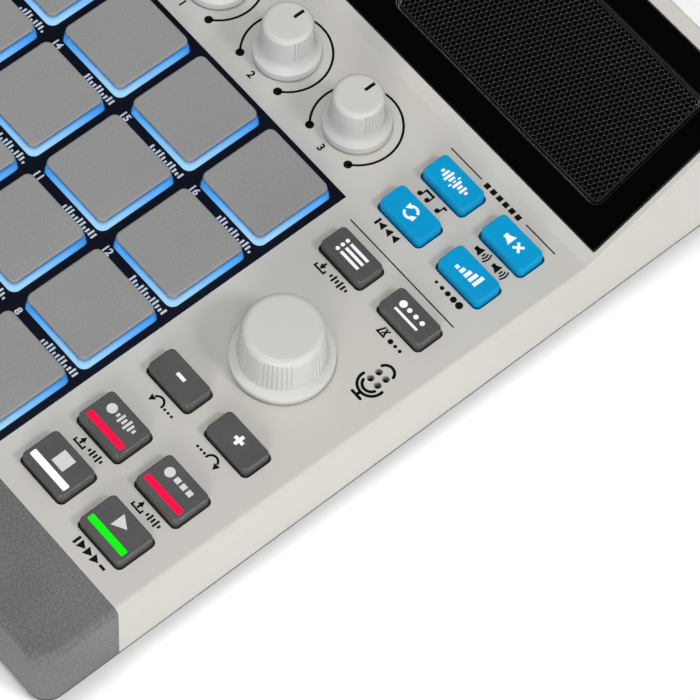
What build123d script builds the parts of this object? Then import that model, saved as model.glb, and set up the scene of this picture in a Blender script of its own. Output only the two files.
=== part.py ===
from build123d import *
import math
import os

# All sizes are in millimetres. X runs to the right, Y to the back, Z up from the table.

# Pad field
pads_across = 4
pad_size = 23.6
pad_gap = 4.8
pad_rise = 4.0
pad_flare = 0.45
pad_corner = 2.0
pad_edge = 0.5
pad_lip = 0.6
pad_lip_thickness = 1.2
pad_travel = 0.8
bezel_margin = 2.95
bezel_front = 3.75
ledge_width = 1.6
mat_thickness = 1.2
mat_key = 12.0
mat_key_rise = 0.5

# Panel layout
left_margin = 10.2
control_width = 54.9
knob_zone = 34.5
rest_depth = 24.0

# Sloping rear section
incline_run = 59.4
incline_angle = 22.0
window_side = 2.0
window_front = 3.9
window_rear = 4.6
window_thickness = 1.6
window_proud = 0.3
window_corner = 0.6

# Speaker and display behind the window
grille_margin = 8.4
grille_width = 80.0
grille_corner = 2.6
grille_thickness = 0.8
grille_seat = 2.0
grille_hole = 3.0
grille_pitch = 4.2
speaker_flange = 2.0
speaker_depth = 13.0
speaker_taper = 22.0
magnet_radius = 11.0
magnet_height = 6.0
display_width = 60.0
display_depth = 36.0
display_frame = 4.0
display_thickness = 3.0

# Walls, edges and heights
foot_height = 2.0
base_edge = 1.5
base_inset = 0.3
base_plug = 1.0
wall_height = 23.5
wall = 2.5
soft_edge = 2.0
kink_edge = 0.8
crisp_edge = 0.6
plan_corner = 6.0
board_thickness = 1.6

# Clearances
fit_gap = 0.1
run_gap = 0.3
seat_gap = 0.2
turn_gap = 0.05
stop_gap = 0.2

# Buttons: places are measured from the pad bezel's back right corner
button_width = 16.4
small_button = 8.9
large_button = 11.9
button_rise = 3.0
button_corner = 1.4
button_draft = 5.0
button_edge = 0.35
button_lip = 1.0
button_lip_thickness = 1.0
button_stem = 3.0
button_stem_length = 1.4
button_travel = 0.8
switch_size = 6.0
switch_height = 2.5
first_column = 15.25
column_pitch = 22.8
button_layout = (
    ("mode_button_1", 0, 8.75, small_button),
    ("mode_button_2", 1, 8.75, small_button),
    ("mode_button_3", 0, 23.3, small_button),
    ("mode_button_4", 1, 23.3, small_button),
    ("select_button", 0, -10.95, small_button),
    ("tap_button", 1, -10.95, small_button),
    ("minus_button", 0, -67.1, small_button),
    ("plus_button", 1, -67.1, small_button),
    ("sample_record_button", 0, -87.8, large_button),
    ("sequence_record_button", 1, -87.8, large_button),
    ("stop_button", 0, -105.4, large_button),
    ("play_button", 1, -105.4, large_button),
)

# Data encoder with push
encoder_side = 25.9
encoder_back = -42.7
encoder_skirt = 13.65
encoder_grip = 11.0
encoder_top = 15.9
encoder_rim = 2.0
encoder_brim = 1.8
encoder_flare = 2.5
encoder_blend = 0.8
encoder_rib_groups = 5
encoder_rib_step = 6.3
encoder_rib_turn = -47.5
encoder_travel = 0.6
encoder_body_size = 13.0
encoder_bush = 4.5
encoder_bush_rise = 2.5
encoder_shaft_radius = 3.0
chamber_radius = 5.0
chamber_wall = 0.8

# Four turning knobs behind the pads
knob_back = 16.1
knob_skirt = 9.25
knob_grip = 7.1
knob_top = 15.0
knob_rim = 1.5
knob_brim = 2.4
knob_flare = 4.0
knob_blend = 4.0
knob_rib_groups = 2
knob_rib_step = 8.0
knob_rib_turn = 0.0
knob_lift = 0.6
knob_stem = 2.5
pot_size = 11.0
pot_bush = 3.5
pot_bush_rise = 1.5
pot_depth = 5.0

# Common form of every knob
brim_edge = 0.5
ribs_in_group = 7
rib_depth = 0.35
rib_width = 0.6
rib_top_margin = 1.4
knob_roof = 3.5
pointer_width = 1.2
pointer_depth = 0.4

# Built-in microphone
mic_side = 45.55
mic_back = -27.65
mic_hole = 1.0
mic_pitch = 2.7
mic_radius = 3.0
mic_height = 2.6

# Screws and posts
post_radius = 3.0
post_inset = 4.2
board_post = 2.6
screw_shank = 1.25
screw_length = 6.5
screw_head = 2.4
screw_head_height = 1.4
mid_post_back = -52.0
board_post_back = (-0.7, -76.4)
board_post_side = 26.2
board_post_left = 11.5

# Rear sockets
rear_width = 152.0
rear_height = 22.0
rear_recess = 1.6
rear_flange = 2.0
rear_flange_thickness = 1.5
main_board_lift = 3.5
main_board_depth = 64.0
main_board_side = 12.0
main_board_margin = 6.0
chip_size = 12.0
chip_height = 1.6
chip_count = 3
chip_pitch = 36.0
chip_back = 16.0
jack_body = 14.0
jack_body_depth = 20.0
jack_collar = 5.0
jack_proud = 0.8
jack_bore = 3.2
jack_bore_length = 15.0
line_jack_places = (-66.0, -49.0, -32.0, -15.0)
mini_body = 9.0
mini_collar = 3.2
mini_bore = 1.8
mini_bore_length = 11.0
mini_jack_places = (0.0, 13.0, 26.0)
usb_place = 40.0
usb_width = 8.9
usb_height = 3.2
usb_depth = 7.5
usb_wall = 0.4
usb_tongue = 6.6
card_place = 53.0
card_width = 12.0
card_height = 2.0
card_depth = 14.0
power_place = 66.0
power_width = 9.0
power_height = 5.0
power_rise = 1.2
power_travel = 0.8
power_lip = 0.8

# Battery and feet
battery_width = 88.0
battery_depth = 58.0
battery_height = 8.0
battery_corner = 3.0
foot_radius = 7.0
foot_sink = 0.8
foot_edge = 0.5
foot_inset = 16.0

# Outline worked out from the contents
pad_pitch = pad_size + pad_gap
pad_foot = pad_size + 2 * pad_flare
pad_draft = math.degrees(math.atan2(pad_flare, pad_rise))
pad_field = pads_across * pad_pitch - pad_gap
bezel_width = pad_field + 2 * bezel_margin
bezel_depth = pad_field + bezel_margin + bezel_front
rest_seam = wall + seat_gap
width = left_margin + bezel_width + control_width
depth = rest_depth + rest_seam + bezel_depth + knob_zone + incline_run
front_y = -depth / 2
rear_y = depth / 2
shell_front = front_y + rest_depth
bezel_left = -width / 2 + left_margin
bezel_right = bezel_left + bezel_width
bezel_fore = shell_front + rest_seam
bezel_back = bezel_fore + bezel_depth
bezel_centre = ((bezel_left + bezel_right) / 2, (bezel_fore + bezel_back) / 2)
kink_y = bezel_back + knob_zone

# Levels
shell_bottom = foot_height + base_edge
base_top = shell_bottom + base_plug
panel_z = shell_bottom + wall_height
panel_under = panel_z - wall
slope = math.radians(incline_angle)
incline_length = incline_run / math.cos(slope)
height = panel_z + incline_run * math.tan(slope)
lip_top = panel_under - seat_gap
pad_lip_under = lip_top - pad_lip_thickness
mat_top = pad_lip_under - pad_travel - stop_gap - mat_key_rise
sensor_top = mat_top - mat_thickness
stem_under = lip_top - button_lip_thickness - button_stem_length
control_board_top = stem_under - button_travel - stop_gap - switch_height
main_board_top = base_top + main_board_lift + board_thickness
control_body_top = panel_under - fit_gap
jack_height = base_top + seat_gap + rear_flange + rear_height / 2


# Places worked out from the bezel corner and the pad columns
def control_point(side, back):
    return (bezel_right + side, bezel_back + back)


def pad_centre(index):
    column = index % pads_across
    row = index // pads_across
    x = bezel_left + bezel_margin + pad_size / 2 + column * pad_pitch
    y = bezel_fore + bezel_front + pad_size / 2 + row * pad_pitch
    return (x, y)


pad_centres = [pad_centre(index) for index in range(pads_across * pads_across)]
button_centres = [
    control_point(first_column + column * column_pitch, back)
    for name, column, back, cap_depth in button_layout
]
encoder_centre = control_point(encoder_side, encoder_back)
knob_centres = [(x, bezel_back + knob_back) for x, y in pad_centres[:pads_across]]
mic_centre = control_point(mic_side, mic_back)
post_x = width / 2 - post_inset
post_rows = (
    shell_front + wall + post_radius,
    bezel_back + mid_post_back,
    rear_y - plan_corner - post_radius,
)
case_posts = [(x, y) for x in (-post_x, post_x) for y in post_rows]
board_posts = [control_point(board_post_side, back) for back in board_post_back]
board_posts.append((knob_centres[0][0] - board_post_left, knob_centres[0][1]))

# The sloping face: local x is X, local y runs up the slope from its front edge
incline = Plane(
    origin=(0, kink_y, panel_z),
    x_dir=(1, 0, 0),
    z_dir=(0, -math.sin(slope), math.cos(slope)),
)
rear_face = Plane.XZ.offset(-rear_y)
window_width = width - 2 * window_side
window_length = incline_length - window_front - window_rear
window_centre = (0, window_front + window_length / 2)
window_seat = window_thickness - window_proud
grille_length = window_length - 2 * grille_margin
grille_centre = (window_width / 2 - grille_margin - grille_width / 2, window_centre[1])
display_centre = ((grille_centre[0] - grille_width / 2 - window_width / 2) / 2, window_centre[1])
speaker_width = grille_width - 2 * grille_seat
speaker_length = grille_length - 2 * grille_seat

os.makedirs("parts", exist_ok=True)


def finish(piece, name):
    piece.part.label = name
    export_step(piece.part, "parts/" + name + ".step")


# Space inside the top shell, with the posts and the bezel ledge left standing
inner_kink = kink_y + wall * math.tan(slope / 2)
inner_rear = rear_y - wall
inner_rear_z = panel_under + (inner_rear - inner_kink) * math.tan(slope)

with BuildPart() as cavity:
    with BuildSketch(Plane.YZ.offset(wall - width / 2)):
        with BuildLine():
            Polyline(
                (shell_front + wall, foot_height),
                (shell_front + wall, panel_under),
                (inner_kink, panel_under),
                (inner_rear, inner_rear_z),
                (inner_rear, foot_height),
                close=True,
            )
        make_face()
    extrude(amount=width - 2 * wall)
    fillet(cavity.edges().filter_by(Axis.Z).group_by(Axis.Y)[-1], plan_corner - wall)
    with BuildSketch(Plane.XY.offset(base_top)):
        with Locations(*case_posts):
            Circle(post_radius)
    extrude(amount=height, mode=Mode.SUBTRACT)
    with BuildSketch(Plane.XY.offset(control_board_top)):
        with Locations(*board_posts):
            Circle(board_post)
    extrude(amount=height, mode=Mode.SUBTRACT)
    with BuildSketch(Plane.XY.offset(mat_top)):
        with Locations(bezel_centre):
            Rectangle(bezel_width + 2 * ledge_width, bezel_depth + 2 * ledge_width)
    extrude(amount=panel_under - mat_top, mode=Mode.SUBTRACT)

# Moulded top shell: a level panel that turns up into a sloping rear section
with BuildPart() as top_shell:
    with BuildSketch(Plane.YZ.offset(-width / 2)):
        with BuildLine():
            Polyline(
                (kink_y, shell_bottom),
                (kink_y, panel_z),
                (rear_y, height),
                (rear_y, shell_bottom),
                close=True,
            )
        make_face()
    extrude(amount=width)
    fillet(top_shell.edges().filter_by(Axis.Z).group_by(Axis.Y)[-1], plan_corner)
    slope_rim = top_shell.faces().sort_by(Axis.Z)[-1].edges().sort_by(Axis.Y)[1:]
    fillet(slope_rim, crisp_edge)
    for section_y, edge in ((kink_y, kink_edge), (shell_front, soft_edge)):
        with BuildSketch(Plane.XZ.offset(-section_y)) as level_section:
            with Locations((0, (shell_bottom + panel_z) / 2)):
                Rectangle(width, wall_height)
            fillet(level_section.vertices().group_by(Axis.Y)[-1], edge)
    loft(ruled=True)
    add(cavity.part, mode=Mode.SUBTRACT)
    with BuildSketch(Plane.XY.offset(panel_z)):
        with Locations(bezel_centre):
            Rectangle(bezel_width + 2 * fit_gap, bezel_depth + 2 * fit_gap)
    extrude(amount=-wall, mode=Mode.SUBTRACT)
    with BuildSketch(Plane.XY.offset(panel_z)):
        with Locations(bezel_centre):
            Rectangle(bezel_width - 2 * ledge_width, bezel_depth - 2 * ledge_width)
    extrude(amount=mat_top - panel_z, mode=Mode.SUBTRACT)
    with BuildSketch(Plane.XY.offset(panel_z)):
        for centre, (name, column, back, cap_depth) in zip(button_centres, button_layout):
            with Locations(centre):
                RectangleRounded(
                    button_width + 2 * run_gap, cap_depth + 2 * run_gap, button_corner + run_gap
                )
        with Locations(encoder_centre):
            Circle(encoder_bush + seat_gap)
        with Locations(*knob_centres):
            Circle(pot_bush + seat_gap)
        with Locations(mic_centre):
            with GridLocations(mic_pitch, mic_pitch, 2, 2):
                Circle(mic_hole)
    extrude(amount=-wall, mode=Mode.SUBTRACT)
    with BuildSketch(incline):
        with Locations(window_centre):
            RectangleRounded(window_width + 2 * fit_gap, window_length + 2 * fit_gap, window_corner)
    extrude(amount=-window_seat, mode=Mode.SUBTRACT)
    with BuildSketch(incline):
        with Locations(grille_centre):
            RectangleRounded(speaker_width, speaker_length, grille_corner)
        with Locations(display_centre):
            Rectangle(display_width + 2 * run_gap, display_depth + 2 * run_gap)
    extrude(amount=-wall, mode=Mode.SUBTRACT)
    with BuildSketch(rear_face):
        with Locations((0, jack_height)):
            Rectangle(rear_width + 2 * fit_gap, rear_height + 2 * fit_gap)
    extrude(amount=wall, mode=Mode.SUBTRACT)
    with BuildSketch(Plane.XY.offset(base_top)):
        with Locations(*case_posts):
            Circle(screw_shank + turn_gap)
    extrude(amount=screw_length, mode=Mode.SUBTRACT)
    with BuildSketch(Plane.XY.offset(control_board_top)):
        with Locations(*board_posts):
            Circle(screw_shank + turn_gap)
    extrude(amount=screw_length - board_thickness + stop_gap, mode=Mode.SUBTRACT)
finish(top_shell, "top_shell")

# Base tray, set in a little from the side walls
foot_centres = [
    (x, y)
    for x in (foot_inset - width / 2, width / 2 - foot_inset)
    for y in (front_y + foot_inset, rear_y - foot_inset)
]
plug_fore = shell_front + wall + fit_gap
plug_back = inner_rear - fit_gap
main_board_back = inner_rear - rear_flange_thickness - fit_gap
main_board_centre_y = main_board_back - main_board_depth / 2
main_board_width = width - 2 * (wall + main_board_side)
standoff_x = main_board_width / 2 - main_board_margin
standoff_rows = (
    main_board_back - main_board_depth + main_board_margin,
    main_board_back - jack_body_depth - main_board_margin,
)
standoffs = [(x, y) for x in (-standoff_x, standoff_x) for y in standoff_rows]

with BuildPart() as base_tray:
    with BuildSketch(Plane.XY.offset(foot_height)):
        RectangleRounded(width - 2 * base_inset, depth - 2 * base_inset, plan_corner - base_inset)
    extrude(amount=base_edge)
    with BuildSketch(Plane.XY.offset(shell_bottom)):
        with Locations((0, (plug_fore + plug_back) / 2)):
            RectangleRounded(
                width - 2 * (wall + fit_gap), plug_back - plug_fore, plan_corner - wall - fit_gap
            )
    extrude(amount=base_plug)
    with BuildSketch(Plane.XY.offset(base_top)):
        with Locations(*standoffs):
            Circle(post_radius)
    extrude(amount=main_board_lift)
    with BuildSketch(Plane.XY.offset(base_top + main_board_lift)):
        with Locations(*standoffs):
            Circle(screw_shank + turn_gap)
    extrude(amount=board_thickness - screw_length - stop_gap, mode=Mode.SUBTRACT)
    with BuildSketch(Plane.XY.offset(foot_height)):
        with Locations(*foot_centres):
            Circle(foot_radius + fit_gap)
    extrude(amount=foot_sink, mode=Mode.SUBTRACT)
    with BuildSketch(Plane.XY.offset(foot_height)):
        with Locations(*case_posts):
            Circle(screw_head + seat_gap)
    extrude(amount=screw_head_height, mode=Mode.SUBTRACT)
    with BuildSketch(Plane.XY.offset(foot_height)):
        with Locations(*case_posts):
            Circle(screw_shank + seat_gap)
    extrude(amount=base_edge + base_plug, mode=Mode.SUBTRACT)
finish(base_tray, "base_tray")

# Grey hand rest along the front edge, open at its back and underneath
with BuildPart() as front_rest:
    with BuildSketch(Plane.XY.offset(shell_bottom)):
        with Locations((0, front_y + (rest_depth - fit_gap) / 2)):
            Rectangle(width, rest_depth - fit_gap)
    extrude(amount=wall_height)
    fillet(front_rest.edges().filter_by(Axis.Z).group_by(Axis.Y)[0], plan_corner)
    fillet(front_rest.faces().sort_by(Axis.Z)[-1].edges().sort_by(Axis.Y)[:-1], soft_edge)
    with BuildSketch(Plane.XY.offset(shell_bottom)) as rest_space:
        with Locations((0, front_y + wall + rest_depth / 2)):
            Rectangle(width - 2 * wall, rest_depth)
        fillet(rest_space.vertices().group_by(Axis.Y)[0], plan_corner - wall)
    extrude(amount=wall_height - wall, mode=Mode.SUBTRACT)
finish(front_rest, "front_rest")

# Rubber feet, sunk a little into the tray
with BuildPart() as feet:
    with BuildSketch():
        with Locations(*foot_centres):
            Circle(foot_radius)
    extrude(amount=foot_height + foot_sink)
    chamfer(feet.edges().group_by(Axis.Z)[0], foot_edge)
finish(feet, "feet")

# Case screws from below, control board screws from below, main board screws from above
with BuildPart() as screws:
    with BuildSketch(Plane.XY.offset(foot_height + screw_head_height)):
        with Locations(*case_posts):
            Circle(screw_head)
    extrude(amount=-screw_head_height)
    with BuildSketch(Plane.XY.offset(foot_height + screw_head_height)):
        with Locations(*case_posts):
            Circle(screw_shank)
    extrude(amount=screw_length)
    with BuildSketch(Plane.XY.offset(control_board_top - board_thickness)):
        with Locations(*board_posts):
            Circle(screw_head)
    extrude(amount=-screw_head_height)
    with BuildSketch(Plane.XY.offset(control_board_top - board_thickness)):
        with Locations(*board_posts):
            Circle(screw_shank)
    extrude(amount=screw_length)
    with BuildSketch(Plane.XY.offset(main_board_top)):
        with Locations(*standoffs):
            Circle(screw_head)
    extrude(amount=screw_head_height)
    with BuildSketch(Plane.XY.offset(main_board_top)):
        with Locations(*standoffs):
            Circle(screw_shank)
    extrude(amount=-screw_length)
finish(screws, "screws")

# Black bezel plate round the pads, level with the panel
with BuildPart() as pad_bezel:
    with BuildSketch(Plane.XY.offset(panel_under)):
        with Locations(bezel_centre):
            Rectangle(bezel_width, bezel_depth)
        with Locations(*pad_centres):
            RectangleRounded(
                pad_foot + 2 * run_gap, pad_foot + 2 * run_gap, pad_corner + run_gap, mode=Mode.SUBTRACT
            )
    extrude(amount=wall)
finish(pad_bezel, "pad_bezel")

# Sixteen pads that flare towards the bezel, each with a lip that the bezel holds down
for index, (x, y) in enumerate(pad_centres):
    with BuildPart() as pad:
        with BuildSketch(Plane(origin=(x, y, pad_lip_under))):
            Rectangle(pad_foot + 2 * pad_lip, pad_foot + 2 * pad_lip)
        extrude(amount=pad_lip_thickness)
        with BuildSketch(Plane(origin=(x, y, lip_top))):
            RectangleRounded(pad_foot, pad_foot, pad_corner)
        extrude(amount=panel_z - lip_top)
        with BuildSketch(Plane(origin=(x, y, panel_z))):
            RectangleRounded(pad_foot, pad_foot, pad_corner)
        extrude(amount=pad_rise, taper=pad_draft)
        chamfer(pad.faces().sort_by(Axis.Z)[-1].edges(), pad_edge)
    finish(pad, f"pad_{index + 1:02d}")

# Silicone contact mat under the pads, with one raised key for each
with BuildPart() as pad_mat:
    with BuildSketch(Plane.XY.offset(sensor_top)):
        with Locations(bezel_centre):
            Rectangle(bezel_width, bezel_depth)
    extrude(amount=mat_thickness)
    with BuildSketch(Plane.XY.offset(mat_top)):
        with Locations(*pad_centres):
            Rectangle(mat_key, mat_key)
    extrude(amount=mat_key_rise)
finish(pad_mat, "pad_mat")

with BuildPart() as pad_sensor_board:
    with BuildSketch(Plane.XY.offset(sensor_top)):
        with Locations(bezel_centre):
            Rectangle(bezel_width, bezel_depth)
    extrude(amount=-board_thickness)
finish(pad_sensor_board, "pad_sensor_board")

# Twelve buttons: a drafted cap, a lip under the panel and a stem over its switch
for centre, (name, column, back, cap_depth) in zip(button_centres, button_layout):
    with BuildPart() as button:
        with BuildSketch(Plane(origin=(*centre, lip_top))):
            Rectangle(button_width + 2 * button_lip, cap_depth + 2 * button_lip)
        extrude(amount=-button_lip_thickness)
        with BuildSketch(Plane(origin=(*centre, lip_top))):
            RectangleRounded(button_width, cap_depth, button_corner)
        extrude(amount=panel_z - lip_top)
        with BuildSketch(Plane(origin=(*centre, panel_z))):
            RectangleRounded(button_width, cap_depth, button_corner)
        extrude(amount=button_rise, taper=button_draft)
        chamfer(button.faces().sort_by(Axis.Z)[-1].edges(), button_edge)
        with BuildSketch(Plane(origin=(*centre, lip_top - button_lip_thickness))):
            Rectangle(button_stem, button_stem)
        extrude(amount=-button_stem_length)
    finish(button, name)

# L-shaped control board with its switches, hung on posts under the panel
board_side = post_x - post_radius - seat_gap
board_left = bezel_right + ledge_width + seat_gap
board_fore = bezel_fore + ledge_width
board_back = kink_y - ledge_width
strip_fore = bezel_back + ledge_width + seat_gap

with BuildPart() as control_board:
    with BuildSketch(Plane.XY.offset(control_board_top)):
        with BuildLine():
            Polyline(
                (board_left, board_fore),
                (board_side, board_fore),
                (board_side, board_back),
                (-board_side, board_back),
                (-board_side, strip_fore),
                (board_left, strip_fore),
                close=True,
            )
        make_face()
        with Locations(*board_posts):
            Circle(screw_shank + seat_gap, mode=Mode.SUBTRACT)
    extrude(amount=-board_thickness)
    with BuildSketch(Plane.XY.offset(control_board_top)):
        with Locations(*button_centres):
            Rectangle(switch_size, switch_size)
    extrude(amount=switch_height)
finish(control_board, "control_board")


# A knob on a flared skirt, hollow underneath, with groups of grooves round its grip
def ribbed_knob(centre, skirt, grip, bottom, top, rim, brim, flare, blend, groups, step, turn, space):
    spread = (ribs_in_group - 1) * step
    foot = (grip, bottom + flare)
    brim_corner = (skirt, bottom + brim)
    blend_turn = math.atan2(skirt - grip, flare - brim)
    rib_bottom = bottom + flare + blend * math.tan(blend_turn / 2)
    with BuildPart() as knob:
        with BuildSketch(Plane(origin=(*centre, 0), x_dir=(1, 0, 0), z_dir=(0, -1, 0))) as form:
            with BuildLine():
                Polyline(
                    (0, top),
                    (grip, top),
                    foot,
                    brim_corner,
                    (skirt, bottom),
                    (space, bottom),
                    (space, panel_z + knob_roof),
                    (0, panel_z + knob_roof),
                    close=True,
                )
            make_face()
            for corner, radius in (((grip, top), rim), (foot, blend), (brim_corner, brim_edge)):
                fillet(form.vertices().sort_by_distance(corner)[0], radius)
        revolve(axis=Axis((*centre, 0), (0, 0, 1)))
        with BuildSketch(Plane(origin=(*centre, rib_bottom))):
            for group in range(groups):
                start = turn + group * 360 / groups - spread / 2
                with PolarLocations(grip, ribs_in_group, start, spread, endpoint=True):
                    Rectangle(2 * rib_depth, rib_width)
        extrude(amount=top - rib_top_margin - rib_bottom, mode=Mode.SUBTRACT)
    return knob


# Data encoder: knob and shaft turn in a sliding cup, which presses the switch in the body
encoder_bottom = panel_z + encoder_travel + seat_gap
encoder_shaft_top = panel_z + encoder_top - encoder_rim - knob_roof / 2
chamber_floor = control_board_top + chamber_wall
chamber_roof = control_body_top - chamber_wall
cup_under = chamber_floor + encoder_travel + stop_gap
cup_floor = cup_under + chamber_wall
cup_rim = chamber_roof - seat_gap

encoder_form = ribbed_knob(
    encoder_centre,
    encoder_skirt,
    encoder_grip,
    encoder_bottom,
    panel_z + encoder_top,
    encoder_rim,
    encoder_brim,
    encoder_flare,
    encoder_blend,
    encoder_rib_groups,
    encoder_rib_step,
    encoder_rib_turn,
    encoder_grip - wall,
)

with BuildPart() as encoder_knob:
    add(encoder_form.part)
    with BuildSketch(Plane(origin=(*encoder_centre, panel_z))):
        Circle(encoder_shaft_radius + turn_gap)
    extrude(amount=encoder_shaft_top + turn_gap - panel_z, mode=Mode.SUBTRACT)
finish(encoder_knob, "encoder_knob")

with BuildPart() as encoder_shaft:
    with BuildSketch(Plane(origin=(*encoder_centre, cup_floor + turn_gap))):
        Circle(encoder_shaft_radius)
    extrude(amount=encoder_shaft_top - cup_floor - turn_gap)
finish(encoder_shaft, "encoder_shaft")

with BuildPart() as encoder_cup:
    with BuildSketch(Plane(origin=(*encoder_centre, cup_under))):
        Circle(chamber_radius - seat_gap)
    extrude(amount=cup_rim - cup_under)
    with BuildSketch(Plane(origin=(*encoder_centre, cup_floor))):
        Circle(encoder_shaft_radius + turn_gap)
    extrude(amount=cup_rim - cup_floor, mode=Mode.SUBTRACT)
finish(encoder_cup, "encoder_cup")

with BuildPart() as encoder_body:
    with BuildSketch(Plane(origin=(*encoder_centre, control_board_top))):
        Rectangle(encoder_body_size, encoder_body_size)
    extrude(amount=control_body_top - control_board_top)
    with BuildSketch(Plane(origin=(*encoder_centre, control_body_top))):
        Circle(encoder_bush)
    extrude(amount=panel_z + encoder_bush_rise - control_body_top)
    with BuildSketch(Plane(origin=(*encoder_centre, chamber_floor))):
        Circle(chamber_radius)
    extrude(amount=chamber_roof - chamber_floor, mode=Mode.SUBTRACT)
    with BuildSketch(Plane(origin=(*encoder_centre, chamber_roof))):
        Circle(encoder_shaft_radius + turn_gap)
    extrude(amount=panel_z + encoder_bush_rise - chamber_roof, mode=Mode.SUBTRACT)
finish(encoder_body, "encoder_body")

# Volume and three numbered knobs, whose stems plug into hollow potentiometers
knob_names = ("volume_knob", "knob_1", "knob_2", "knob_3")
stem_under_z = panel_under - pot_depth
for centre, name in zip(knob_centres, knob_names):
    knob_form = ribbed_knob(
        centre,
        knob_skirt,
        knob_grip,
        panel_z + knob_lift,
        panel_z + knob_top,
        knob_rim,
        knob_brim,
        knob_flare,
        knob_blend,
        knob_rib_groups,
        knob_rib_step,
        knob_rib_turn,
        pot_bush + wall / 2,
    )
    with BuildPart() as knob:
        add(knob_form.part)
        with BuildSketch(Plane(origin=(*centre, stem_under_z))):
            Circle(knob_stem)
        extrude(amount=panel_z + knob_roof - stem_under_z)
        with BuildSketch(Plane(origin=(centre[0], centre[1] + knob_grip / 2, panel_z + knob_top))):
            Rectangle(pointer_width, knob_grip)
        extrude(amount=-pointer_depth, mode=Mode.SUBTRACT)
    finish(knob, name)

with BuildPart() as potentiometers:
    with BuildSketch(Plane.XY.offset(control_board_top)):
        with Locations(*knob_centres):
            Rectangle(pot_size, pot_size)
    extrude(amount=control_body_top - control_board_top)
    with BuildSketch(Plane.XY.offset(control_body_top)):
        with Locations(*knob_centres):
            Circle(pot_bush)
    extrude(amount=panel_z + pot_bush_rise - control_body_top)
    with BuildSketch(Plane.XY.offset(stem_under_z - turn_gap)):
        with Locations(*knob_centres):
            Circle(knob_stem + turn_gap)
    extrude(amount=panel_z + pot_bush_rise - stem_under_z + turn_gap, mode=Mode.SUBTRACT)
finish(potentiometers, "potentiometers")

# Microphone capsule glued under its four holes
with BuildPart() as mic_capsule:
    with BuildSketch(Plane(origin=(*mic_centre, panel_under))):
        Circle(mic_radius)
    extrude(amount=-mic_height)
finish(mic_capsule, "mic_capsule")

# Glossy black window over the slope, with an opening for the speaker grille
with BuildPart() as top_window:
    with BuildSketch(incline.offset(-window_seat)):
        with Locations(window_centre):
            RectangleRounded(window_width, window_length, window_corner)
        with Locations(grille_centre):
            RectangleRounded(grille_width, grille_length, grille_corner, mode=Mode.SUBTRACT)
    extrude(amount=window_thickness)
finish(top_window, "top_window")

# Grille with staggered holes, seated on the shell inside the window's opening
row_pitch = grille_pitch * math.sqrt(3) / 2
holes_across = int((grille_width - 2 * grille_seat - grille_pitch / 2) / grille_pitch)
holes_along = int((grille_length - 2 * grille_seat) / row_pitch)

with BuildPart() as speaker_grille:
    with BuildSketch(incline.offset(-window_seat)):
        with Locations(grille_centre):
            RectangleRounded(
                grille_width - 2 * run_gap, grille_length - 2 * run_gap, grille_corner - run_gap
            )
            with HexLocations(grille_pitch / 2, holes_across, holes_along):
                RegularPolygon(grille_hole / 2, 6, mode=Mode.SUBTRACT)
    extrude(amount=grille_thickness)
finish(speaker_grille, "speaker_grille")

# Oblong loudspeaker under the grille
with BuildPart() as speaker_driver:
    with BuildSketch(incline.offset(-wall)):
        with Locations(grille_centre):
            RectangleRounded(grille_width, grille_length, grille_corner)
    extrude(amount=-speaker_flange)
    with BuildSketch(incline.offset(-wall - speaker_flange)):
        with Locations(grille_centre):
            RectangleRounded(speaker_width, speaker_length, grille_corner)
    extrude(amount=-(speaker_depth - speaker_flange - magnet_height), taper=speaker_taper)
    with BuildSketch(incline.offset(-wall - speaker_depth + magnet_height)):
        with Locations(grille_centre):
            Circle(magnet_radius)
    extrude(amount=-magnet_height)
finish(speaker_driver, "speaker_driver")

# Display: a frame under the slope and a screen that reaches up to the window
with BuildPart() as display_module:
    with BuildSketch(incline.offset(-wall)):
        with Locations(display_centre):
            Rectangle(display_width + 2 * display_frame, display_depth + 2 * display_frame)
    extrude(amount=-display_thickness)
    with BuildSketch(incline.offset(-wall)):
        with Locations(display_centre):
            Rectangle(display_width, display_depth)
    extrude(amount=wall - window_seat - fit_gap)
finish(display_module, "display_module")

# Main board on its standoffs at the back of the tray, with the power switch behind its button
panel_inner = rear_y - wall
flange_inner = panel_inner - rear_flange_thickness
power_lip_inner = flange_inner - seat_gap - button_lip_thickness
power_switch_face = power_lip_inner - power_travel - stop_gap

with BuildPart() as main_board:
    with BuildSketch(Plane.XY.offset(main_board_top)):
        with Locations((0, main_board_centre_y)):
            Rectangle(main_board_width, main_board_depth)
        with Locations(*standoffs):
            Circle(screw_shank + seat_gap, mode=Mode.SUBTRACT)
    extrude(amount=-board_thickness)
    with BuildSketch(Plane.XY.offset(main_board_top)):
        with Locations((0, main_board_centre_y - chip_back)):
            with GridLocations(chip_pitch, chip_size, chip_count, 1):
                Rectangle(chip_size, chip_size)
    extrude(amount=chip_height)
    with BuildSketch(Plane.XY.offset(main_board_top)):
        with Locations((power_place, power_switch_face - switch_size / 2)):
            Rectangle(power_width, switch_size)
    extrude(amount=jack_height + power_height / 2 - main_board_top)
finish(main_board, "main_board")

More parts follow.
